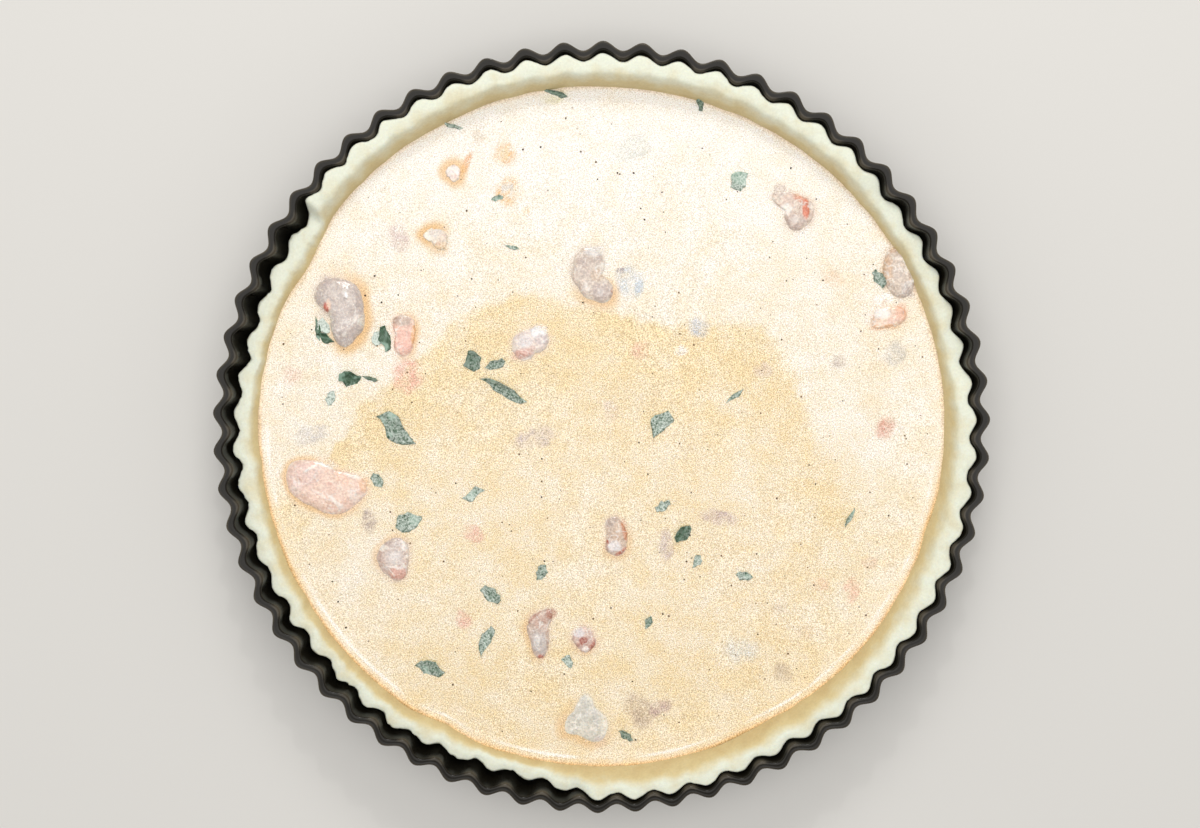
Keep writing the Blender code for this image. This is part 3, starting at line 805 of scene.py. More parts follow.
# Patches of colour on a piece and the custard beside it, some of them painted highlights: offset in x and
# y, length and width in mm, turn in degrees, colour, and amount.
PATCHES_AND_HIGHLIGHTS = {
    "prawn_1": (
        (-6.4, -1.4, 5.0, 7.0, 0, "#eadfd0", 0.8), (-5.8, 11.0, 4.4, 4.0, 0, "#c6b8b4", 0.8),
        (-8.1, 5.4, 4.6, 4.4, 0, "#cabdb7", 0.8), (-5.7, 1.5, 1.8, 3.2, 0, "#c9512f", 0.95),
        # Painted highlights: the pure white patch at the end of this line and the first on the next.
        (-4.7, 2.6, 1.4, 3.6, 0, "#eec3a4", 0.7), (1.5, 5.9, 1.3, 2.8, 10, "#ffffff", 0.85),
        (1.9, 8.3, 0.9, 0.9, 0, "#ffffff", 0.8), (1.0, -3.2, 4.2, 3.0, -10, "#dcd0ca", 0.8),
        (0.4, -8.0, 2.0, 1.2, 30, "#e6dcd4", 0.8), (7.2, -3.5, 3.4, 3.8, 0, "#ebe3d6", 0.95),
        (4.6, 6.0, 2.6, 9.0, 12, "#c3b4af", 0.5), (-2.2, 7.0, 3.0, 7.0, 0, "#d6cac2", 0.5)),
    "salmon_1": (
        (-8.0, 4.0, 12.0, 9.0, 20, "#efd0c8", 0.6), (0.0, 8.0, 9.0, 2.8, -22, "#fbf4ec", 0.9),
        (-5.6, 6.4, 6.0, 1.0, 28, "#fffaf2", 0.8), (3.0, -5.6, 8.5, 1.2, -42, "#fff6ee", 0.7),
        (9.6, -3.6, 6.0, 4.0, -60, "#f9e4d8", 0.7), (-9.4, 2.4, 2.0, 2.0, 0, "#dcb2a0", 0.8),
        (1.1, 0.6, 1.8, 1.6, 0, "#dba392", 0.7), (13.2, 0.6, 4.0, 5.0, 0, "#f3c298", 0.7),
        (-2.0, -3.4, 10.0, 1.0, -30, "#fbe9e0", 0.6), (5.0, 2.6, 7.0, 3.0, -20, "#f4cab0", 0.6),
        (-11.0, -1.0, 4.0, 5.0, 0, "#f3dcd4", 0.6), (9.0, 3.6, 8.0, 1.2, -12, "#fff4ea", 0.7)),
    "prawn_2": (
        (0.2, 9.0, 7.0, 4.0, 0, "#e2dedc", 0.8), (-4.4, 4.8, 3.0, 3.6, 20, "#bda8a0", 0.7),
        (1.0, 0.4, 4.0, 5.0, 0, "#d8bda2", 0.6), (2.5, -5.0, 6.4, 6.2, 0, "#c7b4ac", 0.8),
        (2.1, -5.2, 2.4, 2.4, 0, "#dfd3cc", 0.8), (6.4, -6.2, 1.8, 4.0, 10, "#c79480", 0.7),
        (-2.8, -3.0, 1.4, 5.4, 20, "#f5ebe1", 0.7), (1.6, 6.6, 2.0, 1.6, 0, "#b3a099", 0.6),
        (-3.4, 0.6, 3.6, 3.6, 0, "#cfbdb2", 0.6), (3.4, 2.6, 3.0, 5.0, 20, "#f6efe4", 0.7)),
    "prawn_3": (
        # Painted highlights: the first two patches on this line.
        (5.4, 6.0, 1.6, 6.0, 30, "#f8f3ee", 0.9), (2.7, 7.2, 3.0, 1.6, 0, "#efe4db", 0.8),
        (6.6, -1.2, 6.0, 1.0, 30, "#f5ece4", 0.8), (-1.4, 3.4, 4.4, 10.0, 5, "#d8b18c", 0.7),
        (6.6, -3.8, 5.4, 6.0, 0, "#c8bab5", 0.8), (2.4, 2.0, 3.6, 5.0, 20, "#dacabf", 0.7),
        (0.6, 10.0, 6.0, 1.4, 0, "#d3ac8a", 0.7), (3.4, 4.0, 0.9, 3.6, 30, "#f3e9e2", 0.7)),
    "salmon_2": (
        (-1.8, 1.6, 6.0, 4.0, 0, "#fbf5ee", 0.95), (4.9, 2.3, 4.6, 6.0, 0, "#efb798", 0.9),
        (-1.0, -3.2, 10.0, 2.2, 5, "#edb98f", 0.9), (-1.2, 6.6, 8.0, 4.0, 10, "#fffdf8", 0.95),
        (-1.1, 5.6, 2.0, 1.8, 0, "#dcbda4", 0.8), (2.0, -0.8, 4.0, 2.0, 20, "#f2c9b6", 0.8)),
    "prawn_4": (
        (-4.9, 7.7, 5.0, 4.6, 0, "#c6b6ae", 0.8), (-4.9, 7.7, 2.0, 2.0, 0, "#dccfc6", 0.7),
        (1.6, 4.8, 5.0, 2.6, -30, "#e09a7e", 0.9), (4.1, 1.0, 2.4, 7.0, 0, "#dd7550", 0.95),
        (0.4, -3.4, 7.4, 6.4, 0, "#c9b5aa", 0.85), (0.4, -2.4, 2.8, 2.8, 0, "#e8dcd5", 0.8),
        (-2.8, 0.8, 4.0, 4.0, 0, "#f9f3ea", 0.9), (-1.0, 5.6, 3.0, 2.0, 0, "#ead6c9", 0.6)),
    "prawn_5": (
        (-0.7, 6.2, 7.0, 3.6, 0, "#cdbdb6", 0.8), (-0.7, 1.0, 6.4, 5.6, 0, "#dccfc9", 0.9),
        (-0.9, 1.4, 3.0, 2.6, 0, "#e9e0db", 0.7), (0.4, -5.0, 6.0, 4.6, 0, "#dfa694", 0.85),
        (-1.0, -2.8, 6.0, 0.9, -8, "#f7ece5", 0.8), (-5.6, 1.3, 2.4, 7.0, 0, "#c6aa9d", 0.7),
        (3.2, 4.9, 3.4, 3.4, 0, "#ece1da", 0.8), (-5.2, 4.2, 4.0, 2.0, 10, "#f6ece0", 0.8),
        (3.6, 6.6, 2.0, 2.6, 0, "#bda49c", 0.6)),
    "prawn_6": (
        (4.2, 6.2, 4.2, 4.2, 0, "#b3735d", 0.85), (0.6, 3.4, 5.0, 5.0, 30, "#c69a87", 0.6),
        (-1.8, 5.0, 7.0, 0.9, 42, "#c08d7c", 0.7), (0.0, -4.2, 8.6, 5.6, 100, "#cfc3bd", 0.95),
        # Painted highlight: the first patch on this line.
        (-0.4, -3.4, 1.2, 4.6, 5, "#ebe4de", 0.85), (0.6, -9.6, 2.6, 1.6, -20, "#b9604a", 0.9),
        (2.0, 0.8, 3.0, 2.0, 30, "#e3cfc2", 0.7), (3.0, -5.6, 1.0, 5.0, 5, "#b89a8c", 0.6)),
    "prawn_7": (
        (-0.2, -0.3, 3.4, 3.2, 0, "#a84f3d", 0.9), (2.6, -2.4, 1.8, 4.0, -30, "#b5644f", 0.85),
        (-2.0, 2.7, 4.4, 3.6, 0, "#ebe3e4", 0.9), (0.4, -3.6, 3.0, 1.4, 0, "#ecdcd4", 0.8),
        (-2.4, -1.6, 1.6, 2.0, 0, "#b98676", 0.7)),
    "white_fish_1": (
        (-1.6, 3.4, 6.0, 9.0, 0, "#d6d2c8", 0.5), (4.6, -8.0, 5.0, 4.0, 20, "#e2d2cb", 0.7),
        (-1.0, -2.0, 3.0, 2.0, 0, "#e8e3d8", 0.7), (3.0, 1.0, 2.0, 7.0, 10, "#cbc9c4", 0.5)),
    "prawn_8": (
        (3.0, 4.6, 6.0, 4.6, 20, "#f7f3f3", 0.95), (-1.9, 1.3, 5.0, 4.4, 0, "#efe6e4", 0.95),
        (-3.0, -3.3, 8.0, 3.6, 20, "#dba898", 0.85), (3.9, 1.6, 4.6, 3.6, 0, "#d9c8c6", 0.85),
        (0.6, -1.4, 3.0, 2.0, 30, "#e2c0b4", 0.7)),
    "prawn_9": (
        (-1.1, 5.1, 4.2, 4.2, 0, "#c2afa4", 0.75), (1.0, 1.8, 4.4, 6.6, 0, "#d5b79f", 0.85),
        (3.3, 2.7, 1.8, 8.0, 8, "#d48d64", 0.85), (-0.4, -3.2, 5.0, 4.0, 0, "#e6dddb", 0.95),
        (-2.6, -1.7, 1.2, 1.2, 0, "#b05a44", 0.95), (1.9, -5.4, 5.4, 1.4, 38, "#c67860", 0.9),
        (-3.2, -3.6, 1.6, 4.0, 0, "#c9a08e", 0.7)),
    "prawn_10": (
        (0.6, 1.0, 4.8, 4.8, 0, "#f9efea", 0.9), (0.9, -0.6, 2.4, 1.6, 0, "#e9c9ba", 0.7),
        (5.2, 3.8, 9.6, 2.6, 66, "#e6a870", 0.9), (1.8, 8.4, 8.0, 4.0, 12, "#fffaf2", 0.5)),
    "prawn_11": (
        (-0.6, 2.0, 5.0, 3.4, 0, "#e3d8d0", 0.9), (-3.6, 1.0, 3.0, 3.0, 0, "#fbf3ea", 0.9),
        (1.8, 0.6, 4.0, 2.6, 20, "#ecd6c6", 0.8), (1.0, -3.4, 6.4, 4.6, -10, "#e9c291", 0.8),
        (0.4, -1.6, 1.8, 1.4, 0, "#dcb59c", 0.7)),
    "salmon_3": (
        (0.2, 4.7, 6.4, 4.2, 0, "#c8b3a4", 0.85), (-2.8, 4.8, 2.0, 2.0, 0, "#a98e80", 0.7),
        (0.0, -2.7, 7.4, 8.4, 0, "#f3bcaa", 0.8), (3.6, -0.4, 1.8, 7.4, -6, "#eeb57c", 0.85),
        (-1.4, -4.6, 3.0, 1.0, 20, "#fbe9e0", 0.6)),
}
# Amber custard drawn up beside a piece, with painted contact shade darkest at the piece's edge: direction
# it is strongest and its spread in degrees, width in mm, and amount.
HALOS_AND_SHADE = {
    "prawn_1": (-18, 125, 3.4, 1.0), "salmon_1": (205, 150, 2.0, 0.75),
    "prawn_2": (-75, 75, 3.4, 0.75), "prawn_3": (190, 70, 1.2, 0.25),
    "salmon_2": (-60, 60, 1.2, 0.2), "prawn_4": (20, 60, 1.4, 0.15),
    "prawn_5": (140, 100, 1.8, 0.45), "prawn_6": (195, 90, 2.4, 0.55),
    "prawn_7": (-60, 80, 1.6, 0.35), "white_fish_1": (235, 110, 3.4, 0.7),
    "prawn_8": (-20, 60, 1.4, 0.2), "prawn_9": (-50, 100, 2.2, 0.5),
    "prawn_10": (0, 400, 2.6, 0.85), "prawn_11": (140, 120, 2.6, 1.0),
    "salmon_3": (0, 90, 1.8, 0.7),
}


def outline_centre(row):
    """Centre of a piece's outline in plan."""
    return place(row[0])[:2] + np.array(row[1:3]) * MM


def outline_radius(angle, row):
    """Radius of a piece's outline in a direction: a smooth curve through its twelve radii."""
    radii = np.array(row[6]) * MM
    count = len(radii)
    at = np.mod(angle, TAU) / TAU * count
    i = np.floor(at).astype(int)
    f = at - i
    before, here, after, beyond = (radii[(i + k) % count] for k in (-1, 0, 1, 2))
    bend = 2 * before - 5 * here + 4 * after - beyond
    return here + f / 2 * (after - before + f * (bend + f * (3 * (here - after) + beyond - before)))


def shore_distance(x, y, row):
    """Distance in plan from a piece's outline, negative inside it, and 20 mm where it is far off."""
    x, y = np.broadcast_arrays(np.asarray(x, float), np.asarray(y, float))
    distance = np.full(x.shape, 20 * MM)
    middle = outline_centre(row)
    near = np.hypot(x - middle[0], y - middle[1]) < 26 * MM
    px, py = x[near] - middle[0], y[near] - middle[1]
    gap = np.hypot(px, py) - outline_radius(np.arctan2(py, px), row)
    distance[near] = 0.9 * gap + 0.25 * MM * rough_noise(px, py, 2.6 * MM, 77)
    return distance


def painted(x, y, base, patches_and_highlights, middle, seed):
    """A piece's colour in plan: its own, then each of its patches over it with wandering edges, painted
    highlights among them.
    """
    shift_x = x + 0.5 * MM * rough_noise(x, y, 1.8 * MM, seed)
    shift_y = y + 0.5 * MM * rough_noise(x, y, 1.8 * MM, seed + 5)
    colour = np.ones((*x.shape, 4)) * np.array(linear(base))
    cover = 0 * x
    for dx, dy, length, width, turn, code, amount in patches_and_highlights:
        near = amount * blob(shift_x, shift_y, (middle[0] + dx * MM, middle[1] + dy * MM),
                             length * MM / 2, width * MM / 2, np.radians(turn), 0.6)
        colour = colour + (np.array(linear(code)) - colour) * near[..., None]
        cover = np.maximum(cover, near)
    return colour, cover


def body_grid(row, patches_and_highlights, seed):
    """Surface of a piece: its outline shrunk to a point above, domed, with a swelling at each patch."""
    node, dx, dy, proud, film, tint, radii = row
    middle = outline_centre(row)
    box_middle = place(node)
    around = np.arange(104) * TAU / 104
    reach = outline_radius(around, row)
    reach = reach + 0.45 * MM * rough_noise(reach[0] + 9 * MM * np.cos(around),
                                            9 * MM * np.sin(around), 2.6 * MM, seed, 3)
    # Above the custard the share runs from 0.02 to 1; then a skirt goes down and closes below.
    share = np.concatenate([np.linspace(0.02, 1, 40) ** 0.8, (1.05, 1.06, 0.9, 0.4)])[:, None]
    dome = proud * (1 - np.clip(share, 0, 1) ** 4.5) ** 0.6
    skirt = np.concatenate([np.zeros(40), (0.6, 1.6, 2.6, 2.8)])[:, None]
    px = middle[0] + share * reach * np.cos(around)
    py = middle[1] + share * reach * np.sin(around)
    inside = smooth_step((1 - share) / 0.14)
    relief = 0.30 * rough_noise(px + seed, py, 2.2 * MM, seed + 2) + 0.24 * rough_noise(
        px, py + seed, 6 * MM, seed + 7, 2)
    for mx, my, length, width, turn, code, amount in patches_and_highlights:
        relief = relief + 0.30 * (amount - 0.4) * blob(
            px, py, (box_middle[0] + mx * MM, box_middle[1] + my * MM), length * MM / 2,
            width * MM / 2, np.radians(turn), 0.9)
    top = np.minimum(dome + relief * inside, proud)
    grid = np.stack([px, py, CUSTARD_LEVEL + (top - skirt) * MM], -1)
    return grid[::-1]


class QUICHE_OT_seafood(bpy.types.Operator):
    """Make each prawn and piece of fish: a dome over an outline given by its radius in each direction"""
    bl_idname = "quiche.make_seafood"
    bl_label = "Seafood"

    def execute(self, context):
        colours = context.scene.quiche_seafood
        looks = {
            "prawn": wet_flesh("raw_prawn", colours.shell, colours.film, 1.5 * MM),
            "salmon": wet_flesh("raw_salmon", colours.fat, colours.film, 1.9 * MM),
            "white": wet_flesh("raw_white_fish", colours.fat, colours.film, 2.4 * MM),
        }
        for k, row in enumerate(BODIES):
            node, film, tint = row[0], row[4], row[5]
            kind = node.split("_")[0]
            grid = body_grid(row, PATCHES_AND_HIGHLIGHTS[node], 100 + 13 * k)
            points = wrapped_points(grid, grid[0].mean(axis=0), grid[-1].mean(axis=0))
            x, y, z = points.T
            colour, cover = painted(x, y, tint, PATCHES_AND_HIGHLIGHTS[node], place(node), 40 + k)
            folds = rough_noise(x, y, (2.8 if kind == "salmon" else 4.0) * MM, 800 + k, 3)
            membrane = 0.7 * smooth_step(1 - np.abs(folds) / 0.07)[:, None]
            colour = colour + (np.array(linear("#f6efe8")) - colour) * membrane
            above = (z - CUSTARD_LEVEL) / MM
            patchy = rough_noise(x, y, 3.4 * MM, 500 + k)
            veil = 0.85 - 0.85 * smooth_step((above - 0.05) / 0.4) + film * (0.5 + 1.6 * patchy)
            add_piece(node + "_flesh", points, wrapped_faces(*grid.shape[:2]), looks[kind],
                      (node,),
                      {"tint": colour, "film": np.clip(veil - 0.3 * cover, 0, 1),
                       "crease": 0.5 * smooth_step(1 - np.abs(folds - 0.3) / 0.05)})
        return {"FINISHED"}


# ---- custard ----------------------------------------------------------------------------------
# Seafood and leaves seen through the surface: x, y, length, width in mm, turn in degrees,
# colour, and how clearly it shows.
SUNK = (
    (-68, 20, 10, 12, 0, "#eeb5a2", 0.75),
    (-33, 97, 8, 8, 0, "#ecb675", 0.62),
    (-33, 97.4, 4.6, 4.8, 0, "#ecd3ac", 0.95),
    (-32, 84, 9, 10, 0, "#eec28c", 0.6),
    (-33, 84.6, 5.4, 6, 0, "#d8cec2", 0.95),
    (-26, 78, 3, 3, 0, "#f0cf9f", 0.6),
    (-42, 103, 4, 5, 40, "#d9c8b4", 0.6),
    (11, 99, 13, 8, 20, "#d9dad2", 0.55),
    (-16, 117, 8, 5, 0, "#e6dcae", 0.5),
    (-70, 68, 7, 9, 20, "#cdb2ae", 0.6),
    (-109, 20, 8, 6, 0, "#eec9bb", 0.5),
    (-102, -1, 12, 7, 10, "#d6cfc9", 0.65),
    (-82, -32, 5, 9, 0, "#b3a29c", 0.6),
    (-45, -36, 7, 6, 0, "#e9b6a2", 0.6),
    (-23, -2, 15, 7, 10, "#cfc0bf", 0.55),
    (4, 8, 6, 8, 0, "#d8c2b8", 0.45),
    (14, 29, 7, 6, 0, "#efc3ab", 0.65),
    (28, 29, 4, 3, 0, "#fbf1e8", 0.9),
    (34, 37, 8, 6, -30, "#c9cbcf", 0.6),
    (57, 22, 6, 5, 0, "#c9b6b8", 0.45),
    (83, 25, 5, 5, 0, "#bfb0a8", 0.5),
    (103, 28, 9, 8, 30, "#c8c2b7", 0.55),
    (100, 2, 6, 9, -20, "#d99f8b", 0.6),
    (42, -30, 12, 5, -10, "#bfa9ab", 0.55),
    (23, -40, 5, 11, 0, "#c1aeb0", 0.55),
    (65, -86, 7, 6, 0, "#b3a08c", 0.5),
    (50, -78, 13, 9, 0, "#dcdcd6", 0.55),
    (89, -56, 5, 9, 0, "#eeb9a4", 0.6),
    (78, -54, 6, 5, 0, "#e8c3a9", 0.45),
    (95, -46, 6, 4, 0, "#dcb49a", 0.35),
    (73, -71, 6, 4, 0, "#d8bb95", 0.4),
    (-49, -67, 5, 7, 20, "#e2ab9a", 0.5),
    (63, -63, 5, 4, 0, "#b9a694", 0.4),
    (81, 54, 9, 5, -20, "#eec9a6", 0.45),
    (10, 53, 9, 11, 0, "#d3d8dc", 0.7),
    (14, -100, 9, 13, 30, "#b9a38f", 0.55),
    (21, -99, 9, 5, 20, "#a9878a", 0.6),
    (7, 57, 2.6, 2.6, 0, "#a39aa0", 0.9),
    (13, 51, 4, 6, 0, "#c9d0d6", 0.8),
    (9, 12, 30, 12, 10, "#e6cfa8", 0.25),
)
# The upper edge of the orange foam, as x and y in mm from left to right.
FRONT_X = (-120, -98, -90, -78, -66, -58, -48, -30, 0, 12, 30, 58, 66, 76, 120)
FRONT_Y = (-30, -14, 4, 16, 26, 33, 42, 47, 46, 39, 40, 40, 26, -8, -24)


def disc_grid(cells):
    """Points of a square grid laid evenly on the unit disc, each square ring becoming a circle."""
    line = np.linspace(-1, 1, cells + 1)
    a, b = np.meshgrid(line, line, indexing="ij")
    wide = np.abs(a) > np.abs(b)
    big = np.where(wide, a, b)
    small = np.where(wide, b, a)
    turn = np.pi / 4 * np.divide(small, big, out=np.zeros_like(big), where=big != 0)
    x = big * np.where(wide, np.cos(turn), np.sin(turn))
    y = big * np.where(wide, np.sin(turn), np.cos(turn))
    return x, y


def border_loop(cells):
    """Indices of the grid's outermost points in order round it, anticlockwise."""
    index = np.arange((cells + 1) ** 2).reshape(cells + 1, cells + 1)
    return np.concatenate([index[:-1, 0], index[-1, :-1], index[:0:-1, -1], index[0, :0:-1]])


def custard_fields(x, y, rim, angle):
    """Warmth less a painted meniscus highlight, amber staining with painted shade, sunk colour with that
    highlight laid in, and veil of the custard at each point, and its climb on pieces.
    """
    wander_x = x + 7 * MM * rough_noise(x, y, 15 * MM, 201, 5)
    wander_y = y + 7 * MM * rough_noise(x, y, 15 * MM, 211, 5)
    behind = np.interp(wander_x / MM, FRONT_X, FRONT_Y) * MM - wander_y
    pale = 0.02 + 0.34 * smooth_step((112 * MM - y) / (80 * MM))
    orange = 0.92 - 0.24 * smooth_step(behind / (60 * MM))
    orange = orange + 0.12 * np.exp(-((wander_y + 92 * MM) / (20 * MM)) ** 2)
    orange = orange - 0.30 * smooth_step((wander_x - 72 * MM) / (38 * MM))
    orange = orange - 0.22 * smooth_step((-66 * MM - wander_x) / (26 * MM)) * (y < -14 * MM)
    soft = 6 * MM + 22 * MM * smooth_step((wander_x - 52 * MM) / (20 * MM))
    warmth_and_highlight = pale + (orange - pale) * smooth_step(0.4 + behind / soft)
    south = window(angle, 180, 352, 12, 10)
    band = 2.2 * MM * (1 + 0.4 * rough_noise(x, y, 8 * MM, 251))
    stain_and_shade = (0.16 + 0.36 * south) * smooth_step(1.2 - rim / band)
    # Painted shadow: a thin darker amber line where the custard meets the pastry, strongest on the south
    # side.
    painted_contact_shadow = (0.35 + 0.45 * south) * smooth_step(1 - (rim - 0.9 * MM) / (0.7 * MM))
    stain_and_shade = np.maximum(stain_and_shade, painted_contact_shadow)
    fade = smooth_step(0.5 + 1.4 * rough_noise(x, y, 14 * MM, 253))
    # Painted highlight: a pale line along the meniscus 3.4 mm in from the rim on the south side, taken off
    # the warmth and laid into the sunk colour.
    line = south * np.exp(-((rim - 3.4 * MM) / (0.36 * MM)) ** 2) * fade
    warmth_and_highlight = warmth_and_highlight - 0.60 * line
    climb = 0 * x
    colour = np.ones((*x.shape, 4)) * np.array(linear("#d8cdc0"))
    veil = 0 * x
    torn_x = x + 1.1 * MM * rough_noise(x, y, 3.2 * MM, 221)
    torn_y = y + 1.1 * MM * rough_noise(x, y, 3.2 * MM, 223)
    for k, (cx, cy, length, width, turn, code, amount) in enumerate(SUNK):
        near = amount * blob(torn_x, torn_y, (cx * MM, cy * MM), length * MM / 2, width * MM / 2,
                             np.radians(turn), 0.6)
        near = near * (0.8 + 0.8 * rough_noise(x, y, 2.2 * MM, 600 + k, 3))
        colour = np.where((near > veil)[..., None], np.array(linear(code)), colour)
        veil = np.maximum(veil, near)
    # The painted meniscus highlight, in pale cream over the sunk colour.
    colour = np.where((0.8 * line > veil)[..., None], np.array(linear("#fffaf0")), colour)
    veil = np.maximum(veil, 0.8 * line)
    for k, row in enumerate(BODIES):
        distance = shore_distance(x, y, row)
        close = distance < 12 * MM
        middle = place(row[0])
        bearing = np.degrees(np.arctan2(y - middle[1], x - middle[0]))
        aim, spread, width, amount = HALOS_AND_SHADE[row[0]]
        facing = smooth_step(1.3 - np.abs((bearing - aim + 180) % 360 - 180) / spread)
        reach = width * MM * (1 + 0.35 * rough_noise(x, y, 5 * MM, 700 + k))
        # Partly amber custard, partly painted contact shade, darkest at the piece and on one side.
        halo_and_shade = amount * facing * smooth_step(1.25 - distance / reach)
        stain_and_shade = np.maximum(stain_and_shade, halo_and_shade * 0.85)
        tone, cover = painted(x, y, row[5], PATCHES_AND_HIGHLIGHTS[row[0]], middle, 40 + k)
        seen = np.maximum(0.55 * np.exp(-np.clip(distance, 0, 1) / (0.7 * MM)), 0.75 * cover) * close
        colour = np.where((seen > veil)[..., None], tone, colour)
        veil = np.maximum(veil, seen)
        climb = climb + 0.16 * MM * np.exp(-np.abs(distance) / (0.8 * MM))
    return warmth_and_highlight, stain_and_shade, colour, veil, climb


def custard_height(x, y, rim, angle, climb):
    """Height of the custard: its level, a slow swell, and the climbs at the rim and round pieces."""
    swell = 0.10 * MM * rough_noise(x, y, 22 * MM, 231) + 0.04 * MM * rough_noise(x, y, 2.4 * MM, 241)
    edge = 0.5 * MM * np.exp(-rim / (1.3 * MM))
    south = window(angle, 183, 352, 10, 8)
    ridge = 0.13 * MM * south * np.exp(-((rim - 3.4 * MM) / (0.4 * MM)) ** 2)
    return CUSTARD_LEVEL + swell + edge + ridge + climb


class QUICHE_OT_custard(bpy.types.Operator):
    """Make the custard: a height for each point of a square grid laid evenly on the pool's disc"""
    bl_idname = "quiche.make_custard"
    bl_label = "Custard"

    def execute(self, context):
        settings = context.scene.quiche_custard
        pastry = context.scene.quiche_pastry
        cells = settings.cells
        unit_x, unit_y = disc_grid(cells)
        angle = np.arctan2(unit_y, unit_x)
        pool = pool_radius(pastry, angle) + 0.9 * MM
        x, y = unit_x * pool, unit_y * pool
        rim = pool - np.hypot(x, y)
        warmth_and_highlight, stain_and_shade, colour, veil, climb = custard_fields(x, y, rim, angle)
        z = custard_height(x, y, rim, angle, climb)
        loop = border_loop(cells)
        top = np.stack([x, y, z], -1).reshape(-1, 3)
        count = len(top)
        foot = top[loop] * (0.94, 0.94, 0) + (0, 0, FILLING_BOX[0, 2])
        points = np.vstack([top, foot])
        index = np.arange(count).reshape(cells + 1, cells + 1)
        quads = np.stack([index[:-1, :-1], index[1:, :-1], index[1:, 1:], index[:-1, 1:]], -1)
        below = count + np.arange(len(loop))
        side = np.stack([loop, below, np.roll(below, -1), np.roll(loop, -1)], -1)
        faces = quads.reshape(-1, 4).tolist() + side.tolist() + [below[::-1].tolist()]

        def spread(values):
            """A field's values for the top, and its border's values again for the foot."""
            flat = values.reshape(count, *values.shape[2:])
            return np.concatenate([flat, flat[loop]])

        add_piece("custard_pool", points, faces, liquid_custard(settings), ("filling",),
                  {"warmth_and_highlight": spread(warmth_and_highlight), "stain_and_shade": spread(stain_and_shade), "sunk": spread(colour),
                   "veil": spread(veil)})
        return {"FINISHED"}


# ---- basil, pepper and bubbles ------------------------------------------------------------------
# Torn basil: x, y, length, width in mm, turn and roll in degrees, haze of custard over it.
LEAVES = (
    (-72, 1, 13.0, 9.5, -27, 6, 0.36),
    (-88, 19, 6.5, 6.0, 10, 22, 0.10),
    (-81, 19, 5.5, 2.2, -15, 40, 0.20),
    (-75.5, 33, 7.0, 5.0, 80, 14, 0.02),
    (-78.4, 33, 5.0, 3.2, 80, 8, 0.86),
    (-99.3, 36.6, 7.0, 1.9, -82, 10, 0.00),
    (-96.4, 33.2, 5.6, 3.6, -12, 12, 0.00),
    (-97.2, 37.6, 5.0, 4.6, 80, 6, 0.88),
    (-45, 25, 5.5, 8.0, 30, 12, 0.25),
    (-37, 24, 7.0, 3.2, 10, 20, 0.40),
    (-34, 15, 15.0, 4.6, -22, 26, 0.38),
    (21, 3, 9.0, 7.0, 60, 10, 0.48),
    (48, 88, 6.5, 6.0, 40, 10, 0.50),
    (35, 115, 5.0, 4.2, 60, 25, 0.22),
    (-16, 118, 9.0, 2.6, -15, 35, 0.18),
    (-52, 107, 7.0, 1.6, -10, 30, 0.45),
    (-36, 82, 4.0, 1.8, 20, 20, 0.35),
    (-31, 65, 4.5, 1.6, -20, 10, 0.55),
    (97, 54, 6.0, 4.0, -75, 18, 0.35),
    (105, 65, 2.6, 1.6, 30, 15, 0.05),
    (47, 13, 6.5, 2.0, 40, 20, 0.45),
    (29, -36, 7.0, 5.0, 60, 26, 0.16),
    (22, -26, 4.5, 3.6, 0, 10, 0.55),
    (34, -46, 4.5, 3.2, 60, 10, 0.55),
    (51, -51, 5.5, 3.2, -10, 14, 0.50),
    (88, -30, 6.0, 2.2, 70, 24, 0.45),
    (17, -68, 5.0, 3.0, 60, 18, 0.35),
    (-21, -50, 5.0, 3.8, 60, 14, 0.42),
    (-39, -58, 7.0, 5.0, -70, 12, 0.42),
    (-41, -75, 10.0, 5.0, 80, 10, 0.46),
    (-61, -85, 8.5, 6.0, -15, 14, 0.38),
    (-68, -32, 10.0, 6.0, 25, 8, 0.50),
    (-45, -22, 7.0, 5.0, 10, 8, 0.55),
    (-79, -17, 5.5, 3.5, -60, 12, 0.45),
    (9, -109, 5.0, 3.0, -30, 24, 0.30),
    (-12, -82, 3.5, 4.5, 0, 8, 0.62),
    (-95, 12, 5.0, 3.0, 60, 6, 0.66),
)


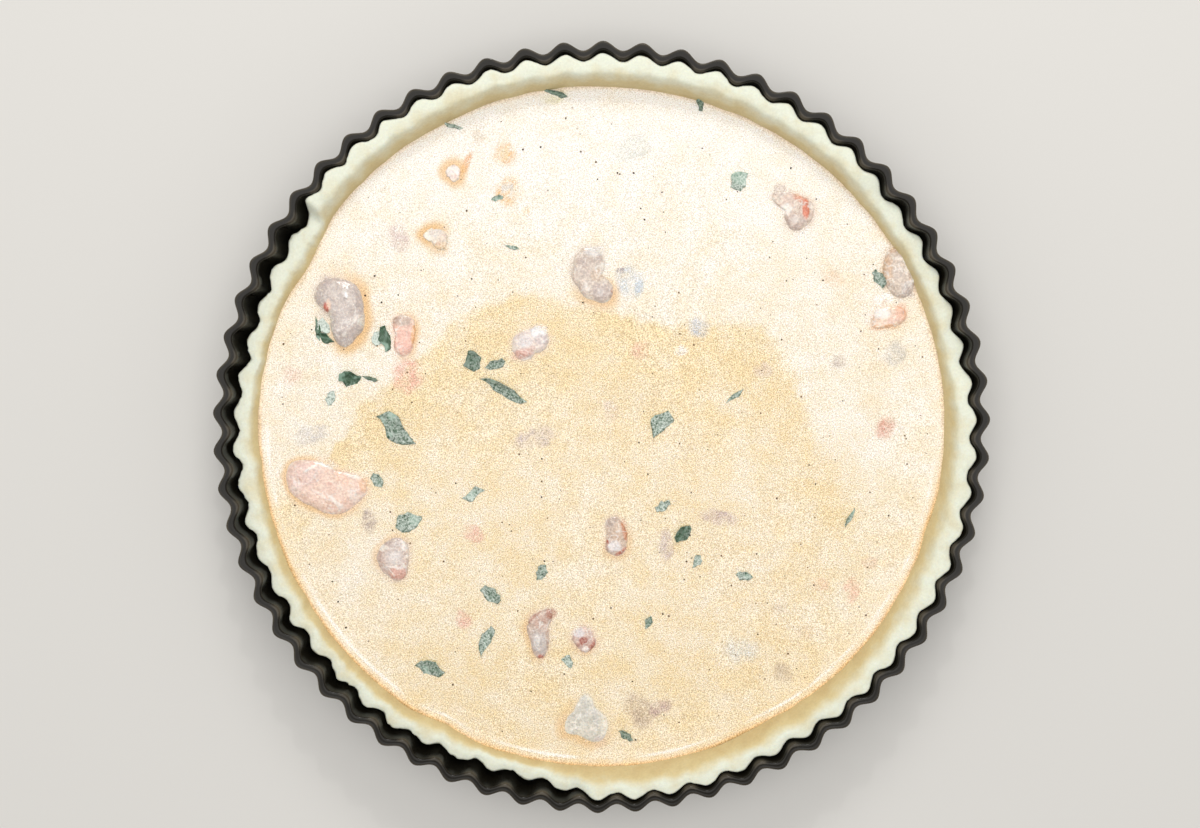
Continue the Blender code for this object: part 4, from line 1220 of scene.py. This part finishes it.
def leaf_shape(row, seed):
    """Torn leaf: a thin closed sheet, its half width falling to both ends, cupped and rolled."""
    cx, cy, length, width, turn, roll, haze = row
    rows, columns = 16, 10
    along = np.linspace(-1, 1, rows)[:, None]
    across = np.linspace(-1, 1, columns)[None]
    slant = 0.30 * np.sin(seed * 1.3)
    left = np.clip((1 - along) * (2.1 + 1.2 * np.cos(seed)) + 0.15, 0, 1)
    right = np.clip((1 + along) * (2.0 + 1.2 * np.sin(seed * 2.1)) + 0.10, 0, 1)
    half = np.minimum(left, right) * (1 + 0.3 * value_noise(along + across * 0.1, 0.5 * across, 0.35, seed))
    u = (along + slant * across + 0.12 * value_noise(across, along * 0.2, 0.4, seed + 2)) * length / 2
    v = across * half * width / 2 + 0.12 * width * np.sin(seed * 3.3) * along
    ripple = 0.22 * rough_noise(u + seed, v, 3.0, seed + 3)
    lift = 0.030 * length * (v / width * 2) ** 2 + 0.010 * u ** 2 / length * 4 + ripple
    tilt = np.radians(roll)
    side = v * np.cos(tilt) - lift * np.sin(tilt)
    rise = v * np.sin(tilt) + lift * np.cos(tilt)
    heading = np.radians(turn)
    px = cx + u * np.cos(heading) - side * np.sin(heading)
    py = cy + u * np.sin(heading) + side * np.cos(heading)
    pz = rise - np.quantile(rise, 0.12) + 0.04
    low = 0.12
    upper = np.stack([px, py, pz + low], -1)
    lower = np.stack([px, py, pz - 0.05], -1)
    points = np.concatenate([upper.reshape(-1, 3), lower.reshape(-1, 3)]) * MM
    points[:, 2] += CUSTARD_LEVEL
    index = np.arange(rows * columns).reshape(rows, columns)
    top = np.stack([index[:-1, :-1], index[1:, :-1], index[1:, 1:], index[:-1, 1:]], -1)
    count = rows * columns
    loop = np.concatenate([index[:-1, 0], index[-1, :-1], index[:0:-1, -1], index[0, :0:-1]])
    wall = np.stack([loop, loop + count, np.roll(loop, -1) + count, np.roll(loop, -1)], -1)
    bottom = top[..., ::-1] + count
    faces = top.reshape(-1, 4).tolist() + bottom.reshape(-1, 4).tolist() + wall.tolist()
    ribs = np.abs(np.sin((u * 1.1 + np.abs(v) * 0.9)))
    vein = np.maximum(np.exp(-(v / 0.28) ** 2), 0.6 * smooth_step((ribs - 0.93) / 0.06))
    vein = np.concatenate([vein.ravel() * 0.6, 0.3 + 0 * vein.ravel()])
    hazes = haze - 0.10 * np.clip(points[:, 2] - CUSTARD_LEVEL, 0, MM) / MM
    back = np.concatenate([smooth_step((rough_noise(u + seed, v, 4.0, seed + 9) - 0.3) / 0.1).ravel(),
                           np.ones(count)])
    return points, faces, vein, hazes, back


class QUICHE_OT_basil(bpy.types.Operator):
    """Make the torn basil: thin closed sheets with ragged edges, cupped, rolled and half sunk"""
    bl_idname = "quiche.make_basil"
    bl_label = "Basil"

    def execute(self, context):
        scene = context.scene
        shapes = [leaf_shape(row, 3 + k) for k, row in enumerate(LEAVES)]
        points, faces = joined([shape[:2] for shape in shapes])
        fields = {name: np.concatenate([shape[2 + k] for shape in shapes])
                  for k, name in enumerate(("vein", "haze", "back"))}
        add_piece("torn_basil", points, faces, basil_leaf(scene.quiche_herbs, scene.quiche_custard),
                  fields=fields)
        return {"FINISHED"}


def surface_height(pastry, x, y):
    """Height of the custard at scattered points."""
    angle = np.arctan2(y, x)
    rim = pool_radius(pastry, angle) + 0.9 * MM - np.hypot(x, y)
    climb = 0 * x
    for row in BODIES:
        distance = shore_distance(x, y, row)
        climb = climb + 0.16 * MM * np.exp(-np.abs(distance) / (0.8 * MM))
    return custard_height(x, y, rim, angle, climb)


def scattered(count, reach, seed):
    """Random places spread evenly over a disc, clear of the seafood, and the generator for more."""
    generator = np.random.default_rng(seed)
    radius = reach * np.sqrt(generator.random(count))
    angle = generator.random(count) * TAU
    x, y = radius * np.cos(angle), radius * np.sin(angle)
    clear = np.min([shore_distance(x, y, row) for row in BODIES], axis=0) > 0.3 * MM
    return x[clear], y[clear], generator


def domes(x, y, z, radius, sides, rings, squash):
    """Half balls: circles that narrow with the cosine of their height's angle, closed below."""
    turn = np.arange(sides) * TAU / sides
    lift = np.linspace(0, np.pi / 2, rings, endpoint=False)
    ring_r = np.cos(lift)[:, None] * radius[:, None, None]
    ring_z = np.sin(lift)[:, None] * radius[:, None, None] * squash
    px = x[:, None, None] + ring_r * np.cos(turn)
    py = y[:, None, None] + ring_r * np.sin(turn)
    pz = z[:, None, None] + ring_z + 0 * turn
    body = np.stack([px, py, pz], -1).reshape(len(x), -1, 3)
    foot = np.stack([x, y, z], -1)[:, None]
    tip = np.stack([x, y, z + radius * squash], -1)[:, None]
    points = np.concatenate([foot, body, tip], axis=1)
    shape = wrapped_faces(rings, sides)
    per = points.shape[1]
    faces = [[v + n * per for v in face] for n in range(len(x)) for face in shape]
    return points.reshape(-1, 3), faces


class QUICHE_OT_foam(bpy.types.Operator):
    """Make the bubbles of the foam: half balls scattered over the custard at their true size"""
    bl_idname = "quiche.make_foam"
    bl_label = "Foam bubbles"

    def execute(self, context):
        settings = context.scene.quiche_custard
        pastry = context.scene.quiche_pastry
        x, y, generator = scattered(settings.bubbles, 117 * MM, 301)
        radius = (0.12 + 0.20 * generator.random(len(x)) ** 3) * MM
        z = surface_height(pastry, x, y) - 0.04 * MM
        points, faces = domes(x, y, z, radius, 7, 3, 0.6)
        add_piece("foam_bubbles", points, faces, foam_film(settings))
        return {"FINISHED"}


class QUICHE_OT_pepper(bpy.types.Operator):
    """Make the pepper: irregular grains from 0.2 to 0.9 mm, scattered over the custard"""
    bl_idname = "quiche.make_pepper"
    bl_label = "Pepper"

    def execute(self, context):
        herbs = context.scene.quiche_herbs
        pastry = context.scene.quiche_pastry
        x, y, generator = scattered(herbs.grains, 116 * MM, 401)
        radius = (0.13 + 0.30 * generator.random(len(x)) ** 2.6) * MM
        z = surface_height(pastry, x, y) - 0.05 * MM
        points, faces = domes(x, y, z, radius, 6, 2, 0.8)
        points[:, :2] += generator.normal(0, 0.045 * MM, (len(points), 2))
        add_piece("pepper_grains", points, faces, ground_pepper(herbs))
        return {"FINISHED"}


# ---- stage ------------------------------------------------------------------------------------
CAMERA_PLACE = (9.11 * MM, 76.1 * MM, 675.4 * MM)
CAMERA_TURN = (-6.0635, 0.8198, 0.0045)   # degrees about X, Y and Z


def add_area(name, size, place_at, aim, power, colour):
    """A square area light that faces a point."""
    light = bpy.data.lights.new(name, "AREA")
    light.shape = "RECTANGLE"
    light.size, light.size_y = size
    light.energy = power
    light.color = colour
    lamp = bpy.data.objects.new(name, light)
    lamp.location = place_at
    direction = Vector(aim) - Vector(place_at)
    lamp.rotation_euler = direction.to_track_quat("-Z", "Y").to_euler()
    bpy.context.scene.collection.objects.link(lamp)
    return lamp


class QUICHE_OT_stage(bpy.types.Operator):
    """Make the plain floor, the soft lights and the camera"""
    bl_idname = "quiche.make_stage"
    bl_label = "Stage"

    def execute(self, context):
        stage = context.scene.quiche_stage
        half = 1.6
        corners = [(-half, -half, 0), (half, -half, 0), (half, half, 0), (-half, half, 0)]
        mesh = bpy.data.meshes.new("studio_floor")
        mesh.from_pydata([(x, y, -0.05 * MM) for x, y, z in corners], [], [(0, 1, 2, 3)])
        mesh.materials.append(studio_paper(stage))
        floor = bpy.data.objects.new("studio_floor", mesh)
        context.scene.collection.objects.link(floor)
        add_area("window_light", (0.5, 0.3), (0.05, 0.95, 0.75), (0, 0, 0), 0.84 * stage.key,
                 (1.0, 0.985, 0.96))
        add_area("window_gap", (0.035, 0.03), (0.05, 0.92, 0.80), (0, 0, 0), 0.2 * stage.key,
                 (1.0, 0.99, 0.97))
        add_area("overhead_light", (1.5, 1.2), (0.0, 0.15, 1.5), (0, 0, 0), stage.fill,
                 (1.0, 0.99, 0.975))
        world = bpy.data.worlds.new("studio_air")
        world.use_nodes = True
        background = world.node_tree.nodes["Background"]
        background.inputs["Color"].default_value = (1.0, 0.99, 0.97, 1.0)
        background.inputs["Strength"].default_value = 0.5
        context.scene.world = world
        context.scene.view_settings.view_transform = "Standard"
        camera = bpy.data.cameras.new("view_camera")
        camera.lens = stage.lens
        camera.sensor_width = 36.0
        camera.clip_start = 0.01
        viewer = bpy.data.objects.new("view_camera", camera)
        turns = [Matrix.Rotation(np.radians(a), 3, axis) for a, axis in zip(CAMERA_TURN, "XYZ")]
        viewer.rotation_euler = (turns[2] @ turns[1] @ turns[0]).to_euler()
        viewer.location = CAMERA_PLACE
        context.scene.collection.objects.link(viewer)
        context.scene.camera = viewer
        return {"FINISHED"}


# ---- panel and registration ---------------------------------------------------------------------
OPERATORS = (
    QUICHE_OT_stage, QUICHE_OT_tin, QUICHE_OT_pastry, QUICHE_OT_seafood, QUICHE_OT_custard,
    QUICHE_OT_basil, QUICHE_OT_foam, QUICHE_OT_pepper,
)
SETTINGS = {
    "quiche_tin": TinSettings, "quiche_pastry": PastrySettings, "quiche_custard": CustardSettings,
    "quiche_seafood": SeafoodSettings, "quiche_herbs": HerbSettings, "quiche_stage": StageSettings,
}


class QUICHE_PT_panel(bpy.types.Panel):
    """Lists the makers of the quiche's pieces with their settings"""
    bl_label = "Seafood quiche"
    bl_space_type = "VIEW_3D"
    bl_region_type = "UI"
    bl_category = "Quiche"

    def draw(self, context):
        for operator in OPERATORS:
            self.layout.operator(operator.bl_idname)
        for name, group in SETTINGS.items():
            box = self.layout.box()
            box.label(text=group.__doc__)
            for setting in group.__annotations__:
                box.prop(getattr(context.scene, name), setting)


def register():
    for group in SETTINGS.values():
        bpy.utils.register_class(group)
    for name, group in SETTINGS.items():
        setattr(bpy.types.Scene, name, bpy.props.PointerProperty(type=group))
    for operator in (*OPERATORS, QUICHE_PT_panel):
        bpy.utils.register_class(operator)


def unregister():
    for operator in (QUICHE_PT_panel, *reversed(OPERATORS)):
        bpy.utils.unregister_class(operator)
    for name, group in SETTINGS.items():
        delattr(bpy.types.Scene, name)
        bpy.utils.unregister_class(group)


def main():
    register()
    for operator in OPERATORS:
        group, action = operator.bl_idname.split(".")
        getattr(getattr(bpy.ops, group), action)()


if __name__ == "__main__":
    main()
